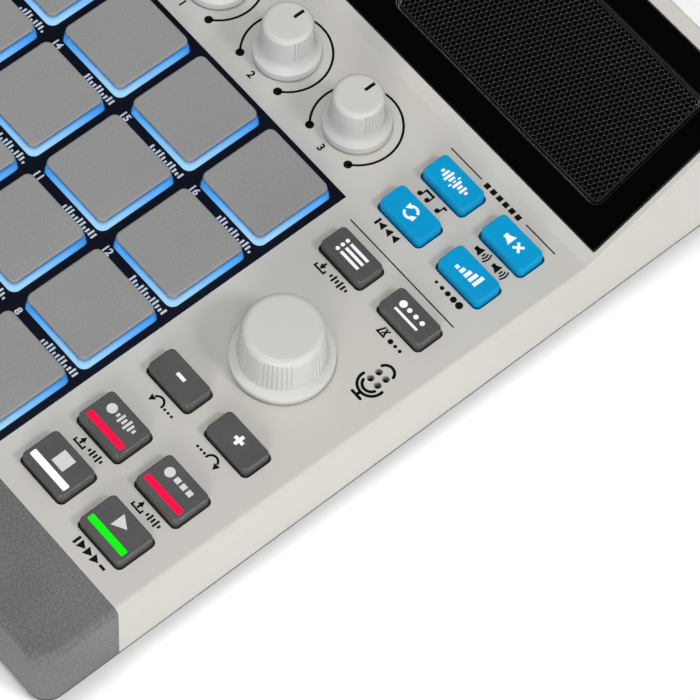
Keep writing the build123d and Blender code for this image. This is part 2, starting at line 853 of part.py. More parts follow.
# Socket plate that fills the cut-out in the rear wall
with BuildPart() as rear_panel:
    with BuildSketch(rear_face.offset(rear_recess)):
        with Locations((0, jack_height)):
            Rectangle(rear_width, rear_height)
    extrude(amount=wall - rear_recess)
    with BuildSketch(rear_face.offset(wall)):
        with Locations((0, jack_height)):
            Rectangle(rear_width + 2 * rear_flange, rear_height + 2 * rear_flange)
    extrude(amount=rear_flange_thickness)
    with BuildSketch(rear_face):
        with Locations(*[(x, jack_height) for x in line_jack_places]):
            Circle(jack_collar + seat_gap)
        with Locations(*[(x, jack_height) for x in mini_jack_places]):
            Circle(mini_collar + seat_gap)
        with Locations((usb_place, jack_height)):
            RectangleRounded(usb_width + 2 * run_gap, usb_height + 2 * run_gap, usb_height / 2)
        with Locations((card_place, jack_height)):
            Rectangle(card_width + 2 * run_gap, card_height + 2 * run_gap)
        with Locations((power_place, jack_height)):
            Rectangle(power_width + 2 * run_gap, power_height + 2 * run_gap)
    extrude(amount=wall + rear_flange_thickness, mode=Mode.SUBTRACT)
finish(rear_panel, "rear_panel")


# A row of round sockets on the main board, with collars through the rear panel
def socket_row(places, body, body_depth, collar, bore, bore_length):
    with BuildPart() as sockets:
        with BuildSketch(Plane.XY.offset(main_board_top)):
            with Locations(*[(x, flange_inner - fit_gap - body_depth / 2) for x in places]):
                Rectangle(body, body_depth)
        extrude(amount=jack_height - main_board_top + body / 2)
        with BuildSketch(rear_face.offset(rear_recess - jack_proud)):
            with Locations(*[(x, jack_height) for x in places]):
                Circle(collar)
        extrude(amount=rear_y - rear_recess + jack_proud - flange_inner + fit_gap)
        with BuildSketch(rear_face.offset(rear_recess - jack_proud)):
            with Locations(*[(x, jack_height) for x in places]):
                Circle(bore)
        extrude(amount=bore_length, mode=Mode.SUBTRACT)
    return sockets


line_jacks = socket_row(
    line_jack_places, jack_body, jack_body_depth, jack_collar, jack_bore, jack_bore_length
)
finish(line_jacks, "line_jacks")

mini_jacks = socket_row(
    mini_jack_places, mini_body, jack_body_depth, mini_collar, mini_bore, mini_bore_length
)
finish(mini_jacks, "mini_jacks")

# USB socket: a folded shell round a contact tongue, on a riser
with BuildPart() as usb_socket:
    with BuildSketch(rear_face.offset(rear_recess)):
        with Locations((usb_place, jack_height)):
            RectangleRounded(usb_width, usb_height, usb_height / 2 - usb_wall)
    extrude(amount=wall - rear_recess + rear_flange_thickness + usb_depth)
    with BuildSketch(rear_face.offset(rear_recess)):
        with Locations((usb_place, jack_height)):
            RectangleRounded(
                usb_width - 2 * usb_wall, usb_height - 2 * usb_wall, usb_height / 2 - 2 * usb_wall
            )
            Rectangle(usb_tongue, 2 * usb_wall, mode=Mode.SUBTRACT)
    extrude(amount=usb_depth, mode=Mode.SUBTRACT)
    with BuildSketch(Plane.XY.offset(main_board_top)):
        with Locations((usb_place, flange_inner - fit_gap - usb_depth / 2)):
            Rectangle(usb_width, usb_depth)
    extrude(amount=jack_height - usb_height / 2 + usb_wall - main_board_top)
finish(usb_socket, "usb_socket")

# Memory card socket with a thin slot, on a riser
with BuildPart() as card_socket:
    with BuildSketch(rear_face.offset(rear_recess)):
        with Locations((card_place, jack_height)):
            Rectangle(card_width, card_height)
    extrude(amount=wall - rear_recess + rear_flange_thickness + card_depth)
    with BuildSketch(rear_face.offset(rear_recess)):
        with Locations((card_place, jack_height)):
            Rectangle(card_width - 2 * usb_wall, card_height - 2 * usb_wall)
    extrude(amount=card_depth, mode=Mode.SUBTRACT)
    with BuildSketch(Plane.XY.offset(main_board_top)):
        with Locations((card_place, flange_inner - fit_gap - card_depth / 2)):
            Rectangle(card_width, card_depth)
    extrude(amount=jack_height - card_height / 2 + usb_wall / 2 - main_board_top)
finish(card_socket, "card_socket")

# Power button in the rear panel, with a lip behind it
with BuildPart() as power_button:
    with BuildSketch(rear_face.offset(rear_recess - power_rise)):
        with Locations((power_place, jack_height)):
            Rectangle(power_width, power_height)
    extrude(amount=rear_y - rear_recess + power_rise - flange_inner + seat_gap)
    chamfer(power_button.faces().sort_by(Axis.Y)[-1].edges(), button_edge)
    with BuildSketch(rear_face.offset(rear_y - flange_inner + seat_gap)):
        with Locations((power_place, jack_height)):
            Rectangle(power_width + 2 * power_lip, power_height + 2 * power_lip)
    extrude(amount=button_lip_thickness)
finish(power_button, "power_button")

# Battery pack on the floor of the tray, under the pads
with BuildPart() as battery_pack:
    with BuildSketch(Plane.XY.offset(base_top)):
        with Locations(bezel_centre):
            RectangleRounded(battery_width, battery_depth, battery_corner)
    extrude(amount=battery_height)
finish(battery_pack, "battery_pack")
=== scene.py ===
import math
import bmesh
import bpy
from mathutils import Matrix, Vector


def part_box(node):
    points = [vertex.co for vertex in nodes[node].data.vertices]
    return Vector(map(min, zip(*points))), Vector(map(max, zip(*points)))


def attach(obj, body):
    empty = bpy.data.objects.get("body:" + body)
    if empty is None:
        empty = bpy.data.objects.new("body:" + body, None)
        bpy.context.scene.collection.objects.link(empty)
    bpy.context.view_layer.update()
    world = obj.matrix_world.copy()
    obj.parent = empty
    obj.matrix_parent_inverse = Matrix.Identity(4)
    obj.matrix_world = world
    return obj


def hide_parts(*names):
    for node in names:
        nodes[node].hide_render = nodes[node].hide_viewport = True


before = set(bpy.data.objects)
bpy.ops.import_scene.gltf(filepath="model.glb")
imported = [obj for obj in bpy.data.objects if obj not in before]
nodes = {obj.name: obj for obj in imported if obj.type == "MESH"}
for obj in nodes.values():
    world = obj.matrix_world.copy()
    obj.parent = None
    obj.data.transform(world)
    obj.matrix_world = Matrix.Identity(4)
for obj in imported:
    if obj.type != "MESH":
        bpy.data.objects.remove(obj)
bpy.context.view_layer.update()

mm = 0.001
padNames = [f"pad_{i:02d}" for i in range(1, 17)]
blueNames = [f"mode_button_{i}" for i in range(1, 5)]
greyNames = ["select_button", "tap_button", "minus_button", "plus_button", "sample_record_button",
             "sequence_record_button", "stop_button", "play_button"]
knobNames = ["volume_knob", "knob_1", "knob_2", "knob_3"]
print("frame loaded,", len(nodes), "nodes")


# materials

def linear(hexCode):  # sRGB hex to linear
    channels = []
    for start in (0, 2, 4):
        c = int(hexCode[start:start + 2], 16) / 255
        channels.append(c / 12.92 if c <= 0.04045 else ((c + 0.055) / 1.055) ** 2.4)
    return (*channels, 1.0)


def addNode(tree, kind, settings, links=None):
    node = tree.nodes.new(kind)
    for key, value in settings.items():
        if isinstance(key, int) or key in node.inputs:
            node.inputs[key].default_value = value
        else:
            setattr(node, key, value)
    for key, source in (links or {}).items():
        tree.links.new(source, node.inputs[key])
    return node


def emptyMaterial(name):
    material = bpy.data.materials.new(name)
    material.use_nodes = True
    material.node_tree.nodes.clear()
    return material, material.node_tree


noiseSpan = (0.35, 0.65)  # most of a noise texture's values lie between these
glossSpread = 0.1  # how far the grain moves the roughness


def mouldedPlastic(name, look):
    # moulded plastic, and coats and inks like it: spark grain, faint mottling and a soft gloss
    # the grain is drawn coarser than a real one, so that it shows
    material, tree = emptyMaterial(name)
    coord = addNode(tree, "ShaderNodeTexCoord", {})
    place = coord.outputs["Object"]
    grain = addNode(tree, "ShaderNodeTexNoise", {"Scale": 1 / (look["grain"] * mm), "Detail": 3.0},
                    {"Vector": place})
    cloud = addNode(tree, "ShaderNodeTexNoise", {"Scale": 1 / (look["cloud"] * mm), "Detail": 2.0},
                    {"Vector": place})
    mixed = addNode(tree, "ShaderNodeMath", {"operation": "MULTIPLY_ADD", 1: look["speck"]},
                    {0: grain.outputs["Fac"], 2: cloud.outputs["Fac"]})
    whole = 1 + look["speck"]
    level = addNode(tree, "ShaderNodeMapRange",
                    {"From Min": noiseSpan[0] * whole, "From Max": noiseSpan[1] * whole},
                    {"Value": mixed.outputs[0]})
    tone = addNode(tree, "ShaderNodeValToRGB", {}, {"Fac": level.outputs["Result"]})
    tone.color_ramp.elements[0].color = linear(look["dark"])
    tone.color_ramp.elements[1].color = linear(look["light"])
    rough = look["rough"]
    gloss = addNode(tree, "ShaderNodeMapRange",
                    {"To Min": rough * (1 - glossSpread), "To Max": rough * (1 + glossSpread)},
                    {"Value": grain.outputs["Fac"]})
    bump = addNode(tree, "ShaderNodeBump", {"Strength": look["bump"], "Distance": look["relief"] * mm},
                   {"Height": grain.outputs["Fac"]})
    shader = addNode(tree, "ShaderNodeBsdfPrincipled",
                     {"IOR": look["ior"], "Specular IOR Level": look["specular"]},
                     {"Base Color": tone.outputs["Color"], "Roughness": gloss.outputs["Result"],
                      "Normal": bump.outputs["Normal"]})
    addNode(tree, "ShaderNodeOutputMaterial", {}, {"Surface": shader.outputs["BSDF"]})
    return material


pipeLook = {"rough": 0.4, "ior": 1.49, "specular": 0.1}


def litPlastic(name, look):
    # light pipe: clear plastic over a lamp, an even glow with a faint frosted grain
    material, tree = emptyMaterial(name)
    coord = addNode(tree, "ShaderNodeTexCoord", {})
    frost = addNode(tree, "ShaderNodeTexNoise", {"Scale": 1 / (look["grain"] * mm), "Detail": 2.0},
                    {"Vector": coord.outputs["Object"]})
    tone = addNode(tree, "ShaderNodeValToRGB", {}, {"Fac": frost.outputs["Fac"]})
    tone.color_ramp.elements[0].color = linear(look["dark"])
    tone.color_ramp.elements[1].color = linear(look["light"])
    shader = addNode(tree, "ShaderNodeBsdfPrincipled",
                     {"Base Color": linear(look["body"]), "Roughness": pipeLook["rough"],
                      "IOR": pipeLook["ior"], "Specular IOR Level": pipeLook["specular"],
                      "Emission Strength": look["glow"]},
                     {"Emission Color": tone.outputs["Color"]})
    addNode(tree, "ShaderNodeOutputMaterial", {}, {"Surface": shader.outputs["BSDF"]})
    return material


def litSilicone(name, look):
    # clear silicone lit from below; painted light makes it paler towards the front right corner, which faces
    # the lamps, and deep at the far ends; painted shade darkens it just under the coat
    material, tree = emptyMaterial(name)
    paintedLight = addNode(tree, "ShaderNodeAttribute", {"attribute_name": "paintedLight"})
    paintedShade = addNode(tree, "ShaderNodeAttribute", {"attribute_name": "paintedShade"})
    coord = addNode(tree, "ShaderNodeTexCoord", {})
    cloud = addNode(tree, "ShaderNodeTexNoise", {"Scale": 1 / (look["cloud"] * mm), "Detail": 2.0},
                    {"Vector": coord.outputs["Object"]})
    # painted light: the glow pales towards the front right corner, with a little random cloud
    spread = addNode(tree, "ShaderNodeMath", {"operation": "MULTIPLY_ADD", 1: look["haze"]},
                     {0: cloud.outputs["Fac"], 2: paintedLight.outputs["Fac"]})
    tone = addNode(tree, "ShaderNodeValToRGB", {}, {"Fac": spread.outputs[0]})
    tone.color_ramp.elements[0].position = look["stops"][0]
    tone.color_ramp.elements[0].color = linear(look["deep"])
    tone.color_ramp.elements[1].color = linear(look["pale"])
    tone.color_ramp.elements.new(look["stops"][1]).color = linear(look["mid"])
    # painted shade: the glow darkens to the edge colour just under the coat
    shade = addNode(tree, "ShaderNodeMix", {"data_type": "RGBA", 7: linear(look["edge"])},
                    {0: paintedShade.outputs["Fac"], 6: tone.outputs["Color"]})
    shader = addNode(tree, "ShaderNodeBsdfPrincipled",
                     {"Base Color": linear(look["body"]), "Roughness": look["rough"], "IOR": look["ior"],
                      "Coat Weight": look["coat"], "Coat Roughness": look["coatRough"],
                      "Coat IOR": look["ior"], "Emission Strength": look["glow"]},
                     {"Emission Color": shade.outputs[2]})
    addNode(tree, "ShaderNodeOutputMaterial", {}, {"Surface": shader.outputs["BSDF"]})
    return material


def bareMetal(name, look):
    # plated or rolled metal: fine lines across one axis, coarser than real ones, so that they show
    material, tree = emptyMaterial(name)
    coord = addNode(tree, "ShaderNodeTexCoord", {})
    drawn = addNode(tree, "ShaderNodeMapping", {"Scale": look["stretch"]},
                    {"Vector": coord.outputs["Object"]})
    grain = addNode(tree, "ShaderNodeTexNoise", {"Scale": 1 / (look["grain"] * mm), "Detail": 3.0},
                    {"Vector": drawn.outputs["Vector"]})
    gloss = addNode(tree, "ShaderNodeMapRange",
                    {"To Min": look["rough"] - glossSpread, "To Max": look["rough"] + glossSpread},
                    {"Value": grain.outputs["Fac"]})
    bump = addNode(tree, "ShaderNodeBump", {"Strength": look["bump"], "Distance": look["relief"] * mm},
                   {"Height": grain.outputs["Fac"]})
    shader = addNode(tree, "ShaderNodeBsdfPrincipled",
                     {"Base Color": linear(look["colour"]), "Metallic": 1.0},
                     {"Roughness": gloss.outputs["Result"], "Normal": bump.outputs["Normal"]})
    addNode(tree, "ShaderNodeOutputMaterial", {}, {"Surface": shader.outputs["BSDF"]})
    return material


plasticKeys = ("dark", "light", "grain", "cloud", "speck", "rough", "bump", "relief", "ior", "specular")
plasticLooks = {  # grain, cloud and relief in mm
    "shellAbs": ("c7c4be", "cdcac4", 0.35, 60.0, 0.3, 0.5, 0.15, 0.02, 1.54, 0.35),  # warm light grey satin
    "restAbs": ("5a5a5c", "7c7c7d", 0.6, 30.0, 2.5, 0.55, 0.6, 0.06, 1.54, 0.35),  # mid grey, coarse grain
    "bezelAbs": ("030611", "080c1e", 0.4, 40.0, 0.5, 0.42, 0.2, 0.02, 1.54, 0.08),  # black, its blue tint a painted glow from the pads, nearly matt
    "trayAbs": ("161618", "202022", 0.6, 40.0, 0.8, 0.6, 0.5, 0.05, 1.54, 0.4),  # dark grey, rough moulding
    "padCoat": ("8e8e8e", "9b9b9a", 0.5, 20.0, 3.0, 0.6, 0.25, 0.02, 1.46, 0.3),  # soft spray, grey speckle
    "blueCapAbs": ("0098d0", "00a2da", 0.4, 20.0, 0.5, 0.38, 0.15, 0.02, 1.54, 0.1),  # bright blue satin
    "greyCapAbs": ("444444", "525252", 0.45, 15.0, 1.0, 0.3, 0.3, 0.02, 1.54, 0.6),  # dark grey, slight sheen
    "knobAbs": ("cecdc9", "d2d1ce", 0.35, 20.0, 0.4, 0.45, 0.1, 0.02, 1.54, 0.4),  # light grey, smooth satin
    "blackNylon": ("141414", "1e1e1e", 0.5, 15.0, 0.6, 0.5, 0.3, 0.03, 1.53, 0.4),  # black, dull moulding
    "footRubber": ("181818", "222222", 0.7, 10.0, 0.8, 0.85, 0.6, 0.05, 1.52, 0.3),  # black, dull and soft
    "windowAcrylic": ("010101", "020202", 3.0, 60.0, 0.3, 0.07, 0.02, 0.01, 1.49, 0.06),  # polished black
    "acrylicEdge": ("020202", "040404", 1.0, 20.0, 0.3, 0.25, 0.05, 0.01, 1.49, 0.8),  # its edge, thin glint
    "speakerPaper": ("020202", "050505", 0.8, 10.0, 0.8, 0.9, 0.5, 0.05, 1.5, 0.1),  # black cloth, no sheen
    "boardLaminate": ("0e3a1c", "164a26", 0.8, 12.0, 0.8, 0.4, 0.2, 0.02, 1.5, 0.5),  # green solder mask
    "matSilicone": ("b0b0b0", "bcbcbc", 0.6, 15.0, 0.6, 0.6, 0.2, 0.02, 1.41, 0.4),  # milky grey silicone
    "grilleEnamel": ("030303", "060606", 0.3, 15.0, 0.6, 0.22, 0.2, 0.01, 1.5, 0.5),  # black, small glints
    "darkInk": ("040406", "08080a", 0.3, 10.0, 0.6, 0.5, 0.1, 0.005, 1.5, 0.1),  # flat black print
    "paleInk": ("ccced4", "d6d8dd", 0.3, 10.0, 0.6, 0.5, 0.1, 0.005, 1.5, 0.3),  # flat pale print
    "screenGlass": ("060a0e", "0a0e14", 2.0, 30.0, 0.3, 0.1, 0.02, 0.01, 1.5, 0.3),  # dark smooth glass
}
metalLooks = {
    "zincSteel": {"colour": "b4b6ba", "grain": 0.3, "stretch": (1, 1, 8), "rough": 0.35, "bump": 0.2,
                  "relief": 0.01},  # a soft grey shine
    "nickelShield": {"colour": "c0bfba", "grain": 0.4, "stretch": (1, 8, 1), "rough": 0.3, "bump": 0.2,
                     "relief": 0.01},  # warmer and a little brighter
}
lampLooks = {  # the colour of the body, and the two ends of its glow
    "redLamp": {"body": "200008", "dark": "f6003c", "light": "ff0a50", "grain": 1.0, "glow": 1.0},
    "greenLamp": {"body": "002000", "dark": "00f400", "light": "10ff10", "grain": 1.0, "glow": 1.0},
    "whiteLamp": {"body": "606060", "dark": "f4f6ff", "light": "ffffff", "grain": 1.0, "glow": 1.0},
    "whiteLegend": {"body": "606060", "dark": "c8cacd", "light": "d2d4d8", "grain": 1.0, "glow": 0.9},
    "brightLegend": {"body": "808080", "dark": "dfe2e8", "light": "e8ebf0", "grain": 1.0, "glow": 0.95},
    "screenGlow": {"body": "101820", "dark": "8fc4e8", "light": "a8d4f2", "grain": 1.5, "glow": 0.7},
}
finish = {name: mouldedPlastic(name, dict(zip(plasticKeys, row))) for name, row in plasticLooks.items()}
finish.update({name: bareMetal(name, look) for name, look in metalLooks.items()})
finish.update({name: litPlastic(name, look) for name, look in lampLooks.items()})
# the glow's deep, mid and pale colours follow the painted light; edge is the painted shade under the coat
skirtLook = {"deep": "3486dc", "mid": "5ab0ff", "pale": "a8dcff", "edge": "225c98", "body": "102840",
             "cloud": 9.0, "haze": 0.12, "stops": (0.548, 0.66), "glow": 1.0, "rough": 0.3, "ior": 1.41,
             "coat": 0.6, "coatRough": 0.15}
finish["padSkirt"] = litSilicone("padSkirt", skirtLook)
print("materials made:", len(finish))

cadFinish = {
    "shellAbs": ["top_shell"],
    "restAbs": ["front_rest"],
    "bezelAbs": ["pad_bezel"],
    "trayAbs": ["base_tray", "rear_panel"],
    "footRubber": ["feet"],
    "zincSteel": ["screws", "encoder_shaft"],
    "nickelShield": ["usb_socket", "card_socket", "encoder_body", "potentiometers"],
    "blackNylon": ["line_jacks", "mini_jacks", "power_button", "encoder_cup", "battery_pack"],
    "speakerPaper": ["speaker_driver", "display_module", "mic_capsule"],
    "boardLaminate": ["pad_sensor_board", "control_board", "main_board"],
    "matSilicone": ["pad_mat"],
}
for name, nodeNames in cadFinish.items():
    for nodeName in nodeNames:
        node = nodes[nodeName]
        node.data.materials.clear()
        node.data.materials.append(finish[name])
print("CAD nodes finished")


# mesh helpers, in millimetres

hair = 0.01  # tells one level from the next
weldDistance = 0.001
uprightLeast = 0.1  # an edge that climbs more than this is upright


def onCircle(radius, angle):  # angle in degrees
    turn = math.radians(angle)
    return radius * math.cos(turn), radius * math.sin(turn)


def addRect(bm, width, depth, z=0.0, centre=(0.0, 0.0), turn=0.0):
    made = bmesh.ops.create_grid(bm, x_segments=1, y_segments=1, size=0.5)
    place = (Matrix.Translation((*centre, z)) @ Matrix.Rotation(math.radians(turn), 4, "Z")
             @ Matrix.Diagonal((width, depth, 1, 1)))
    bmesh.ops.transform(bm, matrix=place, verts=made["verts"])
    return made["verts"][0].link_faces[0]


def raiseFace(bm, face, lift, scale=(1.0, 1.0)):
    inner = any(len(e.link_faces) > 1 for e in face.edges)
    made = bmesh.ops.extrude_face_region(bm, geom=[face])["geom"]
    if inner:
        bmesh.ops.delete(bm, geom=[face], context="FACES_ONLY")  # else it stays inside as a stray wall
    verts = [v for v in made if isinstance(v, bmesh.types.BMVert)]
    top = [f for f in made if isinstance(f, bmesh.types.BMFace)][0]
    bmesh.ops.translate(bm, vec=(0, 0, lift), verts=verts)
    bmesh.ops.scale(bm, vec=(*scale, 1), verts=verts)
    return top


def roundEdges(bm, edges, radius, segments):
    bmesh.ops.bevel(bm, geom=edges, offset=radius, offset_type="OFFSET", segments=segments, profile=0.5,
                    affect="EDGES", material=-1, clamp_overlap=True)


def roundedRect(bm, width, depth, corner, segments, z=0.0, centre=(0.0, 0.0)):
    face = addRect(bm, width, depth, z, centre)
    made = bmesh.ops.bevel(bm, geom=list(face.verts), offset=corner, offset_type="OFFSET", segments=segments,
                           profile=0.5, affect="VERTICES", material=-1)
    return made["verts"][0].link_faces[0]


def edgesAbove(bm, height):
    return [e for e in bm.edges if min(v.co.z for v in e.verts) > height]


def uprightEdges(bm, height):
    return [e for e in edgesAbove(bm, height) if abs(e.verts[0].co.z - e.verts[1].co.z) > uprightLeast]


def finishPiece(bm, name, materials, body, replaces=(), place=None, crease=32):  # crease in degrees
    bmesh.ops.remove_doubles(bm, verts=bm.verts, dist=weldDistance)
    bmesh.ops.recalc_face_normals(bm, faces=bm.faces)
    for face in bm.faces:
        face.smooth = True
    for edge in bm.edges:
        edge.smooth = edge.calc_face_angle(math.pi) < math.radians(crease)
    mesh = bpy.data.meshes.new(name)
    bm.to_mesh(mesh)
    bm.free()
    mesh.transform(Matrix.Scale(mm, 4) @ (place or Matrix()))
    for material in materials:
        mesh.materials.append(finish[material])
    piece = bpy.data.objects.new(name, mesh)
    bpy.context.scene.collection.objects.link(piece)
    level = piece.modifiers.new("flatFaces", "WEIGHTED_NORMAL")  # flat faces stay flat beside round edges
    level.keep_sharp = True
    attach(piece, body)
    if replaces:
        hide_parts(*replaces)
    return piece


def boxOf(node):  # corners in mm
    low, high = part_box(node)
    return low / mm, high / mm


def centreOf(node):
    low, high = boxOf(node)
    return (low + high) / 2


bezelHigh = boxOf("pad_bezel")[1]
panelZ = bezelHigh.z


# pads: a grey coat over clear silicone that flares towards the bezel

padLook = {"top": 23.6, "foot": 24.5, "lip": 0.6, "lipThickness": 1.2, "corner": 2.0, "rim": 0.5,
           "coatSide": 0.7, "rings": (0.4, 0.75, 1.0), "paintedShadeStart": 0.55, "cornerSegments": 6,
           "rimSegments": 4}


def makePad(node):
    look = padLook
    low, high = boxOf(node)
    mid = (low + high) / 2
    lipTop = low.z + look["lipThickness"]
    rise = high.z - panelZ
    bandTop = rise - look["coatSide"]
    shrink = look["top"] / look["foot"] - 1
    bm = bmesh.new()
    face = addRect(bm, look["foot"] + 2 * look["lip"], look["foot"] + 2 * look["lip"], low.z)
    face = raiseFace(bm, face, look["lipThickness"])
    bmesh.ops.inset_region(bm, faces=[face], thickness=look["lip"], use_even_offset=True)
    face = raiseFace(bm, face, panelZ - lipTop)
    level, size = 0.0, 1.0
    for height in [ring * bandTop for ring in look["rings"]] + [rise]:
        step, level = height - level, height
        target = 1 + shrink * level / rise
        face = raiseFace(bm, face, step, (target / size, target / size))
        size = target
    roundEdges(bm, uprightEdges(bm, lipTop - hair), look["corner"], look["cornerSegments"])
    roundEdges(bm, edgesAbove(bm, high.z - hair), look["rim"], look["rimSegments"])
    paintedLight = bm.verts.layers.float.new("paintedLight")
    paintedShade = bm.verts.layers.float.new("paintedShade")
    for v in bm.verts:  # the painted light is 1 at the front right corner, the painted shade is 1 where the coat begins
        v[paintedLight] = 0.5 + (v.co.x - v.co.y) / (2 * look["foot"])
        v[paintedShade] = max(0.0, ((v.co.z - panelZ) / bandTop - look["paintedShadeStart"]) / (1 - look["paintedShadeStart"]))
    for face in bm.faces:
        face.material_index = 0 if face.calc_center_median().z > panelZ + bandTop else 1
    place = Matrix.Translation((mid.x, mid.y, 0))
    return finishPiece(bm, node + "_look", ["padCoat", "padSkirt"], node, [node], place)


for name in padNames:
    makePad(name)
print("pads made")


# button caps: drafted sides, round corners and a lip under the panel

capLook = {"lip": 1.0, "trim": 0.25, "lipThickness": 1.0, "lipDrop": 2.7, "stem": 3.0, "corner": 1.4,
           "draft": 0.03, "rim": 0.4, "cornerSegments": 6, "rimSegments": 3}


def makeCap(node, material):
    look = capLook
    low, high = boxOf(node)
    mid = (low + high) / 2
    inset = look["lip"] + look["trim"]
    width = high.x - low.x - 2 * inset
    depth = high.y - low.y - 2 * inset
    lipTop = panelZ - look["lipDrop"]
    lipUnder = lipTop - look["lipThickness"]
    bm = bmesh.new()
    face = addRect(bm, high.x - low.x, high.y - low.y, lipUnder)
    face = raiseFace(bm, face, look["lipThickness"])
    bmesh.ops.inset_region(bm, faces=[face], thickness=inset, use_even_offset=True)
    face = raiseFace(bm, face, panelZ - lipTop)
    raiseFace(bm, face, high.z - panelZ, (1 - 2 * look["draft"] / width, 1 - 2 * look["draft"] / depth))
    roundEdges(bm, uprightEdges(bm, lipTop - hair), look["corner"], look["cornerSegments"])
    roundEdges(bm, edgesAbove(bm, high.z - hair), look["rim"], look["rimSegments"])
    stem = addRect(bm, look["stem"], look["stem"], low.z)
    raiseFace(bm, stem, lipUnder - low.z)
    place = Matrix.Translation((mid.x, mid.y, 0))
    return finishPiece(bm, node + "_look", [material], node, [node], place)


for name in blueNames:
    makeCap(name, "blueCapAbs")
for name in greyNames:
    makeCap(name, "greyCapAbs")
print("button caps made")


# knobs: a profile spun round, with groups of grooves pressed into the grip

encoderLook = {"skirt": 13.65, "foot": 11.4, "crown": 10.7, "gap": 0.8, "brim": 2.6, "flare": 3.3,
               "blend": 0.8, "top": 15.9, "round": 2.0, "roof": 3.5, "hollow": 8.5, "bore": 3.05,
               "boreEnd": 12.2, "columns": 224, "groups": 5, "turn": -47.5, "groove": 0.32}
knobLook = {"skirt": 9.25, "foot": 7.25, "crown": 6.9, "gap": 0.6, "brim": 3.0, "flare": 4.6,
            "blend": 4.0, "top": 15.0, "round": 1.5, "roof": 3.5, "hollow": 4.75, "bore": 2.5,
            "boreEnd": -7.5, "columns": 180, "groups": 2, "turn": 0.0, "groove": 0.36}
grooveLook = {"count": 7, "columnsApart": 4, "margin": 0.35, "intoRim": 20.0, "aboveBlend": 0.05,
              "reach": 0.2}
profileLook = {"underEdge": 0.3, "underSteps": 3, "brimEdge": 0.5, "brimSteps": 4, "curveSteps": 6,
               "taper": 0.02, "crease": 40}


def arcPoints(centre, radius, start, end, count):
    steps = [onCircle(radius, start + (end - start) * i / count) for i in range(count + 1)]
    return [(centre[0] + x, centre[1] + y) for x, y in steps]


def blendEnd(look):  # slope of the flare from upright, and the height where its curve meets the grip
    slope = math.atan2(look["skirt"] - look["foot"], look["flare"] - look["brim"])
    return slope, look["flare"] + look["blend"] * math.tan(slope / 2)


def knobProfile(look):
    under, edge, taper = (profileLook[key] for key in ("underEdge", "brimEdge", "taper"))
    steps = profileLook["curveSteps"]
    slope, gripFoot = blendEnd(look)
    crownZ = look["top"] - look["round"]
    points = [(0.0, look["boreEnd"]), (look["bore"], look["boreEnd"]), (look["bore"], look["roof"]),
              (look["hollow"], look["roof"]), (look["hollow"], look["gap"])]
    points += arcPoints((look["skirt"] - under, look["gap"] + under), under, -90, 0,
                        profileLook["underSteps"])
    brimZ = look["brim"] - edge * math.tan(slope / 2)
    points += arcPoints((look["skirt"] - edge, brimZ), edge, 0, math.degrees(slope), profileLook["brimSteps"])
    points += arcPoints((look["foot"] + look["blend"], gripFoot), look["blend"],
                        180 + math.degrees(slope), 180, steps)
    points += [(look["foot"] - taper, gripFoot + grooveLook["margin"])]
    points += [(look["crown"] + taper, crownZ - grooveLook["margin"])]
    points += arcPoints((look["crown"] - look["round"], crownZ), look["round"], 0, 90, steps)
    return points + [(0.0, look["top"])]


def makeKnob(node, look, body):
    mid = centreOf(node)
    bm = bmesh.new()
    chain = [bm.verts.new((r, 0, z)) for r, z in knobProfile(look)]
    edges = [bm.edges.new(pair) for pair in zip(chain, chain[1:])]
    bmesh.ops.spin(bm, geom=chain + edges, cent=(0, 0, 0), axis=(0, 0, 1), angle=math.tau,
                   steps=look["columns"], use_merge=True)
    bmesh.ops.remove_doubles(bm, verts=bm.verts, dist=weldDistance / 2)
    grooves = set()
    for group in range(look["groups"]):
        middle = round((look["turn"] / 360 + group / look["groups"]) * look["columns"])
        for i in range(grooveLook["count"]):
            offset = (i - grooveLook["count"] // 2) * grooveLook["columnsApart"]
            grooves.add((middle + offset) % look["columns"])
    low = blendEnd(look)[1] + grooveLook["aboveBlend"]
    high = look["top"] - look["round"] * (1 - math.sin(math.radians(grooveLook["intoRim"])))
    for v in bm.verts:
        column = round(math.atan2(v.co.y, v.co.x) / math.tau * look["columns"]) % look["columns"]
        if column in grooves and low < v.co.z < high and v.co.xy.length > look["crown"] - grooveLook["reach"]:
            v.co.xy *= 1 - look["groove"] / v.co.xy.length
    place = Matrix.Translation((mid.x, mid.y, panelZ))
    return finishPiece(bm, node + "_look", ["knobAbs"], body, [node], place,
                       profileLook["crease"])


makeKnob("encoder_knob", encoderLook, "encoder_dial")
for name in knobNames:
    makeKnob(name, knobLook, name)
print("knobs made")


# marks: flat shapes laid out on the plane, given a thickness and printed on panel, bezel and caps

inkLook = {"thickness": 0.06, "sink": 0.02, "line": 0.36, "stroke": 0.8, "discSides": 24, "arcStep": 6,
           "arcLeast": 6}
numberLook = {"bolder": 0.03, "curveSteps": 4}  # finer curves cross themselves once they are bolder


def finishMarks(bm, name, material, body, place):
    made = bmesh.ops.extrude_face_region(bm, geom=bm.faces[:])["geom"]
    lifted = [v for v in made if isinstance(v, bmesh.types.BMVert)]
    bmesh.ops.translate(bm, vec=(0, 0, inkLook["thickness"]), verts=lifted)
    sunk = place @ Matrix.Translation((0, 0, -inkLook["sink"]))
    return finishPiece(bm, name, [material], body, (), sunk)


def addBar(bm, x, y, width, height, turn=0.0):
    addRect(bm, width, height, 0, (x, y), turn)


def addDisc(bm, x, y, radius):
    bmesh.ops.create_circle(bm, cap_ends=True, segments=inkLook["discSides"], radius=radius,
                            matrix=Matrix.Translation((x, y, 0)))


def addArrow(bm, x, y, size, turn):  # a triangle that points along turn
    place = Matrix.Translation((x, y, 0)) @ Matrix.Rotation(math.radians(turn - 90), 4, "Z")
    bmesh.ops.create_circle(bm, cap_ends=True, segments=3, radius=size, matrix=place)


